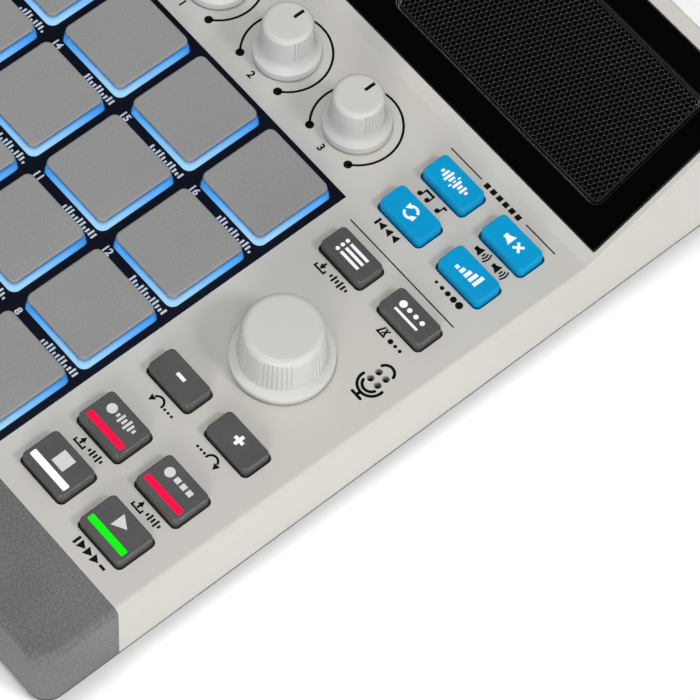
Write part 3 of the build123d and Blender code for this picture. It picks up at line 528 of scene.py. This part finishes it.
def addArc(bm, x, y, radius, width, start, sweep, capped=False):
    turn = Matrix.Rotation(math.radians(start), 4, "Z")
    centre = Vector((x, y, 0))
    ends = [bm.verts.new(turn @ Vector((radius + side * width / 2, 0, 0)) + centre) for side in (-1, 1)]
    edge = bm.edges.new(ends)
    bmesh.ops.spin(bm, geom=ends + [edge], cent=centre, axis=(0, 0, 1), angle=math.radians(sweep),
                   steps=max(inkLook["arcLeast"], int(abs(sweep) / inkLook["arcStep"])))
    if capped:
        for angle in (start, start + sweep):
            dx, dy = onCircle(radius, angle)
            addDisc(bm, x + dx, y + dy, width / 2)


def addBars(bm, x, heights, pitch, width, base=None):
    for i, height in enumerate(heights):
        y = 0.0 if base is None else base + height / 2
        addBar(bm, x + i * pitch, y, width, height)


def addNumber(bm, text, x, y, height, align):
    curve = bpy.data.curves.new("number", "FONT")
    curve.body = text
    curve.offset = numberLook["bolder"]
    curve.resolution_u = numberLook["curveSteps"]
    curve.fill_mode = "FRONT"
    holder = bpy.data.objects.new("number", curve)
    bpy.context.scene.collection.objects.link(holder)
    shape = bpy.data.meshes.new_from_object(holder.evaluated_get(bpy.context.evaluated_depsgraph_get()))
    bpy.data.objects.remove(holder)
    bpy.data.curves.remove(curve)
    xs = [v.co.x for v in shape.vertices]
    ys = [v.co.y for v in shape.vertices]
    size = height / (max(ys) - min(ys))
    anchor = {"left": min(xs), "centre": (min(xs) + max(xs)) / 2, "right": max(xs)}[align]
    shape.transform(Matrix.Translation((x, y, 0)) @ Matrix.Scale(size, 4)
                    @ Matrix.Translation((-anchor, -(min(ys) + max(ys)) / 2, 0)))
    bm.from_mesh(shape)
    bpy.data.meshes.remove(shape)


strokes = {"bar": addBar, "dot": addDisc, "arrow": addArrow, "arc": addArc, "bars": addBars}
symbols = {  # each a list of strokes: a function above and its numbers, in mm from the middle and in degrees
    "undo": [("arc", 0.8, -0.85, 1.75, 0.62, -10, 170), ("arrow", -1.05, -0.95, 1.15, 262),
             *(("dot", x, -0.7, 0.4) for x in (3.6, 4.9, 6.2))],
    "backward": [("bar", -4.6, 0, 0.75, 2.3), *(("arrow", x, 0, 1.4, 180) for x in (-2.7, -0.2, 2.3))],
    "dots": [("dot", -4.4, 0, 0.45), ("dot", -2.2, 0, 0.6), ("dot", 0, 0, 0.75), ("dot", 2.2, 0, 0.9),
             ("dot", 4.4, 0, 1.05)],
    "notes": [*(("dot", x, -0.75, 0.72) for x in (-4.2, -1.4, 2.6)),
              *(("bar", x, 0.3, 0.45, 2.3) for x in (-3.7, -0.9, 3.1)),
              ("bar", -2.3, 1.15, 3.25, 0.7), ("bar", 3.5, 1.15, 1.3, 0.7)],
    "sound": [stroke for x in (-3.8, 2.8) for stroke in (
        ("bar", x - 1.7, 0, 0.9, 1.2), ("arrow", x - 0.6, 0, 1.6, 180),
        *(("arc", x, 0, radius, 0.45, -36, 72) for radius in (1.0, 1.85, 2.7)))],
    "mute": [("bar", -2.1, 0, 0.9, 1.2), ("arrow", -1.0, 0, 1.6, 180), ("bar", 1.9, 0, 2.7, 0.65, 45),
             ("bar", 1.9, 0, 2.7, 0.65, -45)],
    "store": [("bar", -3.2, -1.15, 3.8, 0.52), *(("bar", x, -0.7, 0.52, 1.1) for x in (-4.84, -1.56)),
              ("bar", -3.2, 0.85, 0.62, 1.2), ("arrow", -3.2, 0.05, 1.0, -90),
              ("bars", 0.2, (1.0, 2.1, 1.4, 2.4, 1.7, 0.9), 1.15, 0.62)],
    "fetch": [("bar", -2.4, -1.15, 3.8, 0.52), *(("bar", x, -0.7, 0.52, 1.1) for x in (-4.04, -0.76)),
              ("bar", -2.4, -0.15, 0.62, 1.2), ("arrow", -2.4, 0.7, 1.0, 90),
              ("bars", 0.7, (1.0, 2.1, 1.5, 2.3, 1.0), 1.1, 0.6)],
    "metronome": [("bar", -2.0, -1.1, 3.0, 0.52), ("bar", -2.75, 0.05, 2.6, 0.52, 70),
                  ("bar", -1.25, 0.05, 2.6, 0.52, 110), ("bar", -1.3, 0.3, 2.5, 0.42, 52),
                  ("dot", 1.4, -0.55, 0.75), ("dot", 3.2, -0.55, 0.5), ("dot", 5.0, -0.55, 0.5)],
    "onward": [("bar", -4.8, 0, 0.75, 2.5), *(("arrow", x, 0, 1.5, 0) for x in (-3.0, -0.5, 2.0)),
               ("bar", 5.0, 0, 1.9, 0.75)],
    "squares": [("bar", x, 0, 1.6, 1.6) for x in (-6.0, -3.6, -1.2, 1.2, 3.6, 6.0)],
    "loop": [stroke for start in (25, 205) for stroke in (
        ("arc", 0, 0, 1.55, 0.62, start, 120), ("arrow", *onCircle(1.55, start + 128), 0.95, start + 223))],
    "levels": [("bars", -2.9, (0.9, 1.45, 2.0, 2.55, 3.1), 1.45, 0.95, -1.5)],
    "slices": [("bars", -3.8, (0.9, 2.0, 2.9, 1.7), 1.0, 0.62),
               ("bars", 0.95, (2.5, 1.4, 2.1, 0.8), 1.0, 0.62),
               *(("bar", 0.1, y, 0.36, 0.8) for y in (-1.4, 0, 1.4))],
    "list": [stroke for y in (-1.45, 0, 1.45)
             for stroke in (("dot", -3.2, y, 0.5), ("bar", 0.8, y, 5.8, 0.75))],
    "beats": [("dot", -3.15, 0.6, 0.95), *(("dot", x, 0.6, 0.6) for x in (-1.05, 1.05, 3.15)),
              ("bar", 0, -1.4, 7.4, 0.62)],
    "minus": [("bar", 0, 0, 2.6, 0.85)],
    "plus": [("bar", 0, 0, 2.7, 0.85), ("bar", 0, 0, 0.85, 2.7)],
    "recordSound": [("dot", -3.2, 0, 1.25), ("bars", -1.1, (1.0, 2.3, 1.5, 2.7, 1.9, 1.0), 1.05, 0.6)],
    "recordSteps": [("dot", -3.2, 0, 1.25), *(("bar", x, 0, 1.4, 1.4) for x in (-0.6, 1.4, 3.4))],
    "stop": [("bar", 0, 0, 3.75, 3.75)],
    "play": [("arrow", 0, 0, 2.2, 0)],
    "phones": [("arc", 0, -0.3, 1.35, 0.42, 0, 180), *(("bar", x, -0.75, 0.8, 1.3) for x in (-1.35, 1.35))],
    "power": [("arc", 0, 0, 1.2, 0.42, 125, 290, True), ("bar", 0, 0.95, 0.42, 1.5)],
    "card": [("bar", 0, -1.1, 2.2, 0.42), ("bar", -1.1, 0, 0.42, 2.6), ("bar", 1.1, -0.3, 0.42, 2.0),
             ("bar", -0.4, 1.1, 1.5, 0.42), ("bar", 0.7, 0.85, 0.95, 0.42, -45)],
    "usb": [("dot", 0, -1.1, 0.5), ("bar", 0, 0, 0.42, 2.2), ("arrow", 0, 1.15, 0.75, 90)],
}


def stamp(bm, symbol, x, y, size, flip=1):
    part = bmesh.new()
    for kind, *numbers in symbols[symbol]:
        strokes[kind](part, *numbers)
    place = Matrix.Translation((x, y, 0)) @ Matrix.Diagonal((flip * size, size, 1, 1))
    bmesh.ops.transform(part, matrix=place, verts=part.verts)
    shape = bpy.data.meshes.new("stamp")
    part.to_mesh(shape)
    part.free()
    bm.from_mesh(shape)
    bpy.data.meshes.remove(shape)


capMarks = {  # symbol, its place on the cap from the middle, lamp
    "mode_button_1": ("loop", (0, 0.1), None),
    "mode_button_2": ("levels", (0, 0.1), None),
    "mode_button_3": ("slices", (0, 0.1), None),
    "mode_button_4": ("mute", (0.1, 0.1), None),
    "select_button": ("list", (0, 0.1), None),
    "tap_button": ("beats", (0, 0.2), None),
    "minus_button": ("minus", (0.2, 0.3), None),
    "plus_button": ("plus", (0.2, 0.3), None),
    "sample_record_button": ("recordSound", (0, 2.2), "redLamp"),
    "sequence_record_button": ("recordSteps", (0, 2.2), "redLamp"),
    "stop_button": ("stop", (0.25, 1.45), "whiteLamp"),
    "play_button": ("play", (-0.5, 1.8), "greenLamp"),
}
panelMarks = {  # symbol printed in front of a button, and its mirror sign
    "mode_button_1": ("backward", 1),
    "mode_button_2": ("dots", 1),
    "mode_button_3": ("notes", 1),
    "mode_button_4": ("sound", 1),
    "select_button": ("store", 1),
    "tap_button": ("metronome", 1),
    "minus_button": ("undo", 1),
    "plus_button": ("undo", -1),
    "sample_record_button": ("fetch", 1),
    "sequence_record_button": ("fetch", 1),
    "play_button": ("onward", 1),
}
markLook = {"lampWidth": 13.5, "lampDepth": 1.95, "lampCorner": 0.3, "lampSegments": 4,
            "lampOffset": (0.05, -2.8), "lampSink": 0.1, "lampRise": 0.12, "labelDrop": 2.5,
            "labelSize": 1.0, "capSize": 1.15}
dialLook = {"radius": 12.2, "width": 0.65, "start": -50.8, "sweep": 281.6, "dot": 1.2, "label": (-0.6, -11.5),
            "number": 2.4, "steps": (0.6, 1.05, 1.5, 1.95, 2.4), "stepPitch": 1.2, "stepWidth": 0.7,
            "pointerStart": 2.0, "pointerEnd": 5.3, "pointerWidth": 0.9}
lineLook = {"left": 5.9, "right": 46.4, "longBack": -3.4, "brokenBack": 30.7, "gapLeft": 18.0,
            "gapRight": 35.3, "heading": (26.4, 30.5)}
micLook = {"side": 45.55, "back": -27.65, "capsule": 2.3, "capsuleArc": (18, 144), "halfGap": 2.35,
           "cradle": 3.6, "cradleArc": (172, 196), "cradleDrop": -2.3, "standDrop": -7.25,
           "standWidth": 3.1, "stem": 1.4, "stemRise": 0.75, "standEnd": 0.49}  # the end clears the corners
rearMarkLook = {"lines": (-66.0, -49.0, -32.0, -15.0), "phones": 0.0, "minis": (13.0, 26.0), "usb": 40.0,
                "card": 53.0, "power": 66.0, "rise": 8.2, "number": 2.4}
padMarkLook = {"drop": 14.2, "side": 0.3, "number": 2.3, "bars": 9, "moreBars": 4, "barPitch": 1.15,
               "barWidth": 0.6, "barLeast": 0.7, "barWave": 1.4, "barTurn": 0.8, "padTurn": 1.3}


def makeCapMarks(node):
    low, high = boxOf(node)
    mid = (low + high) / 2
    symbol, offset, lamp = capMarks[node]
    bm = bmesh.new()
    stamp(bm, symbol, *offset, markLook["capSize"])
    place = Matrix.Translation((mid.x, mid.y, high.z))
    legend = "whiteLegend" if lamp else "brightLegend"
    finishMarks(bm, node + "_symbol", legend, node, place)
    if lamp:
        look = markLook
        bm = bmesh.new()
        face = roundedRect(bm, look["lampWidth"], look["lampDepth"], look["lampCorner"], look["lampSegments"],
                           -look["lampSink"], look["lampOffset"])
        raiseFace(bm, face, look["lampRise"] + look["lampSink"])
        finishPiece(bm, node + "_lamp", [lamp], node, (), place)


def makePanelPrint():
    bm = bmesh.new()
    for node, (symbol, flip) in panelMarks.items():
        low, high = boxOf(node)
        front = low.y + capLook["lip"]
        stamp(bm, symbol, (low.x + high.x) / 2, front - markLook["labelDrop"], markLook["labelSize"], flip)
    look = lineLook
    edge = bezelHigh.x
    for left, right, back in (("left", "right", "longBack"), ("left", "gapLeft", "brokenBack"),
                              ("gapRight", "right", "brokenBack")):
        addBar(bm, edge + (look[left] + look[right]) / 2, bezelHigh.y + look[back], look[right] - look[left],
               inkLook["line"])
    stamp(bm, "squares", edge + look["heading"][0], bezelHigh.y + look["heading"][1], 1.0)
    look = dialLook
    for i, node in enumerate(knobNames):
        mid = centreOf(node)
        addArc(bm, mid.x, mid.y, look["radius"], look["width"], look["start"], look["sweep"])
        for angle in (look["start"], look["start"] + look["sweep"]):
            dx, dy = onCircle(look["radius"], angle)
            addDisc(bm, mid.x + dx, mid.y + dy, look["dot"])
        x, y = mid.x + look["label"][0], mid.y + look["label"][1]
        if i:
            addNumber(bm, str(i), x, y, look["number"], "centre")
        else:  # volume has rising steps
            first = mid.x - look["stepPitch"] * (len(look["steps"]) - 1) / 2
            addBars(bm, first, look["steps"], look["stepPitch"], look["stepWidth"], y - look["number"] / 2)
    look = micLook
    stroke = inkLook["stroke"]
    x, y = bezelHigh.x + look["side"], bezelHigh.y + look["back"]
    start, sweep = look["capsuleArc"]
    addArc(bm, x, y + look["halfGap"], look["capsule"], stroke, start, sweep, True)
    addArc(bm, x, y - look["halfGap"], look["capsule"], stroke, start + 180, sweep, True)
    addArc(bm, x, y + look["cradleDrop"], look["cradle"], stroke, *look["cradleArc"], True)
    y += look["standDrop"]
    addBar(bm, x, y, look["standWidth"], stroke)
    for side in (-1, 1):
        addDisc(bm, x + side * look["standWidth"] / 2, y, look["standEnd"] * stroke)
    addBar(bm, x, y + look["stemRise"], stroke, look["stem"])
    finishMarks(bm, "panel_print", "darkInk", "chassis", Matrix.Translation((0, 0, panelZ)))


def makeBezelPrint():
    look = padMarkLook
    bm = bmesh.new()
    half = padLook["top"] / 2
    for i, node in enumerate(padNames):
        mid = centreOf(node)
        y = mid.y - look["drop"]
        addNumber(bm, str(i + 1), mid.x - half - look["side"], y, look["number"], "left")
        count = look["bars"] + i % look["moreBars"]  # unlike the next pad's
        waves = [math.sin(look["barTurn"] * j + look["padTurn"] * i) for j in range(count)]
        heights = [look["barLeast"] + look["barWave"] * abs(wave) for wave in waves]
        first = mid.x + half - (count - 1) * look["barPitch"]
        addBars(bm, first, heights, look["barPitch"], look["barWidth"], y - look["number"] / 2)
    finishMarks(bm, "bezel_print", "paleInk", "chassis", Matrix.Translation((0, 0, panelZ)))


def makeRearPrint():
    look = rearMarkLook
    face = boxOf("rear_panel")[1].y
    middle = centreOf("line_jacks").z
    bm = bmesh.new()
    for places in (look["lines"], look["minis"]):
        for i, x in enumerate(places):
            addNumber(bm, str(len(places) - i), -x, look["rise"], look["number"], "centre")
    for symbol in ("phones", "usb", "card", "power"):
        stamp(bm, symbol, -look[symbol], look["rise"], 1.0)
    facing = Matrix(((-1, 0, 0, 0), (0, 0, 1, face), (0, 1, 0, middle), (0, 0, 0, 1)))  # reads from behind
    finishMarks(bm, "rear_print", "paleInk", "chassis", facing)


def makePointer(node):
    low, high = boxOf(node)
    mid = (low + high) / 2
    bm = bmesh.new()
    start, end = dialLook["pointerStart"], dialLook["pointerEnd"]
    addBar(bm, 0, (start + end) / 2, dialLook["pointerWidth"], end - start)
    place = Matrix.Translation((mid.x, mid.y, high.z))
    finishMarks(bm, node + "_pointer", "darkInk", node, place)


for name in capMarks:
    makeCapMarks(name)
makePanelPrint()
makeBezelPrint()
makeRearPrint()
for name in knobNames:
    makePointer(name)
print("marks made")


# sloping window, grille and screen, made flat and laid on the slope

slopeLook = {"knobZone": 34.5, "angle": 22.0, "run": 59.4, "front": 3.9, "rear": 4.6, "seat": 1.3,
             "thickness": 1.6, "corner": 0.6, "cornerSegments": 6, "edge": 0.3, "edgeSegments": 3,
             "wallTilt": 0.5, "edgeTilt": (0.1, 0.99)}  # tilts are a normal's upward share
grilleLook = {"margin": 8.4, "width": 80.0, "gap": 0.3, "corner": 2.6, "pitch": 1.5, "hole": 1.16,
              "rim": 0.13, "holeSides": 12, "sheet": 0.3, "top": -0.35, "bend": 1.1, "drop": 0.5,
              "cloth": -1.2, "clothThickness": 0.25, "cornerCuts": 5, "rimSheet": 0.15,
              "rimRings": ((0.1, 0.3), (0.15, 0.15), (0.2, 0.05), (0.25, -0.05), (0.2, -0.12))}  # in, up
screenLook = {"width": 60.0, "depth": 36.0, "corner": 1.0, "cornerSegments": 4, "sink": 0.01, "rise": 0.03,
              "margin": 5.0, "line": 0.5, "lineGap": 1.2, "bars": 16, "barPitch": 3.1, "barWidth": 2.2,
              "barLeast": 4.0, "barWave": 14.0, "barTurns": (0.9, 0.23), "tabs": 4, "tabPitch": 13.5,
              "tabWidth": 9.0, "tabDepth": 3.2, "tabLine": 9.0}
slopeLength = slopeLook["run"] / math.cos(math.radians(slopeLook["angle"]))
slopePlace = (Matrix.Translation((0, bezelHigh.y + slopeLook["knobZone"], panelZ))
              @ Matrix.Rotation(math.radians(slopeLook["angle"]), 4, "X"))
windowLow, windowHigh = boxOf("top_window")
windowWidth = windowHigh.x - windowLow.x
windowLength = slopeLength - slopeLook["front"] - slopeLook["rear"]
windowTop = slopeLook["thickness"] - slopeLook["seat"]
windowMid = (0.0, slopeLook["front"] + windowLength / 2)
grilleLength = windowLength - 2 * grilleLook["margin"]
grilleMid = (windowWidth / 2 - grilleLook["margin"] - grilleLook["width"] / 2, windowMid[1])
screenMid = ((grilleMid[0] - grilleLook["width"] / 2 - windowWidth / 2) / 2, windowMid[1])
sheetWidth = grilleLook["width"] - 2 * grilleLook["gap"]
sheetLength = grilleLength - 2 * grilleLook["gap"]
sheetCorner = grilleLook["corner"] - grilleLook["gap"]
grillePlace = slopePlace @ Matrix.Translation((*grilleMid, 0))


def makeWindow():
    look = slopeLook
    bm = bmesh.new()
    steps = look["cornerSegments"]
    outer = roundedRect(bm, windowWidth, windowLength, look["corner"], steps, -look["seat"], windowMid)
    inner = roundedRect(bm, grilleLook["width"], grilleLength, grilleLook["corner"], steps, -look["seat"],
                        grilleMid)
    edges = list(outer.edges) + list(inner.edges)
    bmesh.ops.delete(bm, geom=[outer, inner], context="FACES_ONLY")
    ring = bmesh.ops.bridge_loops(bm, edges=edges)["faces"]
    made = bmesh.ops.extrude_face_region(bm, geom=ring)["geom"]
    lifted = [v for v in made if isinstance(v, bmesh.types.BMVert)]
    bmesh.ops.translate(bm, vec=(0, 0, look["thickness"]), verts=lifted)
    bm.normal_update()
    rim = [e for e in edgesAbove(bm, windowTop - hair)
           if min(abs(f.normal.z) for f in e.link_faces) < look["wallTilt"]]
    roundEdges(bm, rim, look["edge"], look["edgeSegments"])
    bm.normal_update()
    least, most = look["edgeTilt"]
    for face in bm.faces:  # the rounded edge is neither upright nor flat
        face.material_index = 1 if least < face.normal.z < most else 0
    return finishPiece(bm, "top_window_look", ["windowAcrylic", "acrylicEdge"], "chassis",
                       ["top_window"], slopePlace)


def edgeDistance(x, y):  # how far a point lies inside the sheet's rounded outline
    dx = abs(x) - (sheetWidth / 2 - sheetCorner)
    dy = abs(y) - (sheetLength / 2 - sheetCorner)
    return sheetCorner - math.hypot(max(dx, 0), max(dy, 0)) - min(max(dx, dy), 0)


def edgesOf(verts):
    return list({e for v in verts for e in v.link_edges})


def everything(bm):
    return bm.verts[:] + bm.edges[:] + bm.faces[:]


def makeGrille():
    look = grilleLook
    rowPitch = look["pitch"] * math.sqrt(3) / 2
    columns = int(sheetWidth / look["pitch"]) + 3
    rowPairs = int(sheetLength / rowPitch / 2) + 2
    sides = look["holeSides"]
    bm = bmesh.new()
    cell = bmesh.ops.create_circle(bm, segments=6, radius=look["pitch"] / math.sqrt(3))["verts"]
    bmesh.ops.subdivide_edges(bm, edges=edgesOf(cell), cuts=1)
    shoulder = bmesh.ops.create_circle(bm, segments=sides, radius=look["hole"] / 2 + look["rim"])["verts"]
    inner = edgesOf(shoulder)
    bmesh.ops.bridge_loops(bm, edges=bm.edges[:])
    hole = bmesh.ops.create_circle(bm, segments=sides, radius=look["hole"] / 2,
                                   matrix=Matrix.Translation((0, 0, -look["rim"])))["verts"]
    bmesh.ops.bridge_loops(bm, edges=inner + edgesOf(hole))
    copy = bmesh.ops.duplicate(bm, geom=everything(bm))["geom"]
    bmesh.ops.translate(bm, vec=(look["pitch"] / 2, rowPitch, 0),
                        verts=[g for g in copy if isinstance(g, bmesh.types.BMVert)])
    for step, count in (((look["pitch"], 0, 0), columns), ((0, 2 * rowPitch, 0), rowPairs)):
        bmesh.ops.spin(bm, geom=everything(bm), cent=(0, 0, 0), axis=(0, 0, 1), dvec=step, angle=0,
                       steps=count, use_duplicate=True)
    bmesh.ops.remove_doubles(bm, verts=bm.verts, dist=hair)
    middle = Vector((columns * look["pitch"] / 2, rowPairs * rowPitch, 0))
    bmesh.ops.translate(bm, vec=-middle, verts=bm.verts)
    for sideX, sideY in ((1, 1), (-1, 1), (-1, -1), (1, -1)):  # cut to the rounded outline
        centre = Vector((sideX * (sheetWidth / 2 - sheetCorner), sideY * (sheetLength / 2 - sheetCorner), 0))
        for i in range(look["cornerCuts"]):
            across, along = onCircle(1, 90 * i / (look["cornerCuts"] - 1))
            away = Vector((sideX * across, sideY * along, 0))
            bmesh.ops.bisect_plane(bm, geom=everything(bm), plane_co=centre + away * sheetCorner,
                                   plane_no=away, clear_outer=True)
    for v in bm.verts:  # the sheet bends down at its edge
        bend = max(0.0, 1 - edgeDistance(v.co.x, v.co.y) / look["bend"])
        v.co.z += look["top"] - look["drop"] * bend ** 2
    bmesh.ops.recalc_face_normals(bm, faces=bm.faces)
    bmesh.ops.solidify(bm, geom=bm.faces[:], thickness=look["sheet"])
    return finishPiece(bm, "speaker_grille_look", ["grilleEnamel"], "chassis",
                       ["speaker_grille"], grillePlace)


def makeGrilleBorder():  # a rolled edge round the holes
    look = grilleLook
    bm = bmesh.new()
    border = roundedRect(bm, sheetWidth, sheetLength, sheetCorner, slopeLook["cornerSegments"],
                         look["top"] - look["rimRings"][0][1])
    for thickness, rise in look["rimRings"]:
        bmesh.ops.inset_region(bm, faces=[border], thickness=thickness, depth=rise, use_even_offset=True,
                               use_boundary=True)
    bmesh.ops.delete(bm, geom=[border], context="FACES")
    bmesh.ops.recalc_face_normals(bm, faces=bm.faces)
    bmesh.ops.solidify(bm, geom=bm.faces[:], thickness=look["rimSheet"])
    return finishPiece(bm, "grille_border", ["grilleEnamel"], "chassis", (), grillePlace)


def makeGrilleCloth():
    bm = bmesh.new()
    cloth = roundedRect(bm, sheetWidth, sheetLength, sheetCorner, slopeLook["cornerSegments"],
                        grilleLook["cloth"])
    raiseFace(bm, cloth, grilleLook["clothThickness"])
    return finishPiece(bm, "grille_cloth", ["speakerPaper"], "chassis", (), grillePlace)


def makeScreen():
    look = screenLook
    bm = bmesh.new()
    glass = roundedRect(bm, look["width"], look["depth"], look["corner"], look["cornerSegments"],
                        windowTop - look["sink"])
    raiseFace(bm, glass, look["rise"])
    place = slopePlace @ Matrix.Translation((*screenMid, 0))
    finishPiece(bm, "screen_glass", ["screenGlass"], "chassis", (), place)
    bm = bmesh.new()
    base = look["margin"] - look["depth"] / 2
    top = look["depth"] / 2
    for i in range(look["bars"]):  # a level meter over a line
        wave = math.sin(look["barTurns"][0] * i) * math.cos(look["barTurns"][1] * i)
        height = look["barLeast"] + look["barWave"] * abs(wave)
        x = (i - (look["bars"] - 1) / 2) * look["barPitch"]
        addBar(bm, x, base + height / 2, look["barWidth"], height)
    for y in (base - look["lineGap"], top - look["tabLine"]):
        addBar(bm, 0, y, look["width"] - 2 * look["margin"], look["line"])
    for i in range(look["tabs"]):
        x = (i - (look["tabs"] - 1) / 2) * look["tabPitch"]
        addBar(bm, x, top - look["margin"], look["tabWidth"], look["tabDepth"])
    finishMarks(bm, "screen_marks", "screenGlow", "chassis",
                place @ Matrix.Translation((0, 0, windowTop)))


makeWindow()
makeGrille()
makeGrilleBorder()
makeGrilleCloth()
makeScreen()
print("window, grille and screen made")


# camera at the photo's place, worked out from the pad grid: angles in degrees, lengths in mm

cameraLook = {"azimuth": 45.721, "elevation": 61.499, "roll": 4.757, "distance": 1026.48, "lens": 210.05,
              "sensor": 36.0, "side": 34.86, "back": -27.93}


def makeCamera():
    look = cameraLook
    azimuth, elevation, roll = (math.radians(look[key]) for key in ("azimuth", "elevation", "roll"))
    back = Vector((math.sin(azimuth) * math.cos(elevation), -math.cos(azimuth) * math.cos(elevation),
                   math.sin(elevation)))
    right = Vector((math.cos(azimuth), math.sin(azimuth), 0))
    up = back.cross(right)
    turned = right * math.cos(roll) + up * math.sin(roll)
    target = Vector((bezelHigh.x + look["side"], bezelHigh.y + look["back"], panelZ))
    data = bpy.data.cameras.new("photoCamera")
    data.lens = look["lens"]
    data.sensor_width = look["sensor"]
    data.clip_start = 10 * mm
    camera = bpy.data.objects.new("photoCamera", data)
    bpy.context.scene.collection.objects.link(camera)
    axes = Matrix((turned, back.cross(turned), back)).transposed().to_4x4()
    camera.matrix_world = Matrix.Translation((target + back * look["distance"]) * mm) @ axes
    bpy.context.scene.camera = camera


makeCamera()


# stage: white floor that keeps the shadow, soft lamps

stageLook = {"floorSize": 12.0, "floorColour": "ffffff", "floorLift": 0.13, "worldLight": 0.26}
lampLook = {  # metres and watts
    "keyLamp": {"place": (2.04, 0.66, 2.1), "size": 0.7, "power": 29.0},
    "frontLamp": {"place": (2.3, -2.5, 1.0), "size": 1.6, "power": 60.0},
    "topLamp": {"place": (-0.25, -0.14, 2.6), "size": 0.5, "power": 20.5},
}


def makeFloor():
    bm = bmesh.new()
    bmesh.ops.create_grid(bm, x_segments=1, y_segments=1, size=stageLook["floorSize"] / 2)
    mesh = bpy.data.meshes.new("floor")
    bm.to_mesh(mesh)
    bm.free()
    floor = bpy.data.objects.new("floor", mesh)
    bpy.context.scene.collection.objects.link(floor)
    material, tree = emptyMaterial("paperSweep")  # white paper, lifted to white where it is seen directly
    path = addNode(tree, "ShaderNodeLightPath", {})
    seen = addNode(tree, "ShaderNodeMath", {"operation": "MAXIMUM"},
                   {0: path.outputs["Is Camera Ray"], 1: path.outputs["Is Glossy Ray"]})
    seen = addNode(tree, "ShaderNodeMath", {"operation": "MAXIMUM"},
                   {0: seen.outputs[0], 1: path.outputs["Is Transmission Ray"]})
    lift = addNode(tree, "ShaderNodeMath", {"operation": "MULTIPLY", 1: stageLook["floorLift"]},
                   {0: seen.outputs[0]})
    paper = addNode(tree, "ShaderNodeBsdfDiffuse", {"Color": linear(stageLook["floorColour"])})
    glow = addNode(tree, "ShaderNodeEmission", {"Color": (1, 1, 1, 1)}, {"Strength": lift.outputs[0]})
    both = addNode(tree, "ShaderNodeAddShader", {}, {0: paper.outputs[0], 1: glow.outputs[0]})
    addNode(tree, "ShaderNodeOutputMaterial", {}, {"Surface": both.outputs[0]})
    mesh.materials.append(material)


def makeWorld():  # even light from all round, seen as white
    world = bpy.data.worlds.new("studio")
    bpy.context.scene.world = world
    world.use_nodes = True
    tree = world.node_tree
    tree.nodes.clear()
    path = addNode(tree, "ShaderNodeLightPath", {})
    strength = addNode(tree, "ShaderNodeMapRange", {"To Min": stageLook["worldLight"], "To Max": 1.0},
                       {"Value": path.outputs["Is Camera Ray"]})
    sky = addNode(tree, "ShaderNodeBackground", {"Color": (1, 1, 1, 1)},
                  {"Strength": strength.outputs["Result"]})
    addNode(tree, "ShaderNodeOutputWorld", {}, {"Surface": sky.outputs[0]})


def makeLamps():
    for name, look in lampLook.items():
        data = bpy.data.lights.new(name, "AREA")
        data.energy = look["power"]
        data.size = look["size"]
        lamp = bpy.data.objects.new(name, data)
        bpy.context.scene.collection.objects.link(lamp)
        lamp.location = look["place"]
        lamp.rotation_euler = (-Vector(look["place"])).to_track_quat("-Z", "Y").to_euler()


makeFloor()
makeWorld()
makeLamps()
bpy.context.scene.view_settings.view_transform = "Standard"
print("stage made")
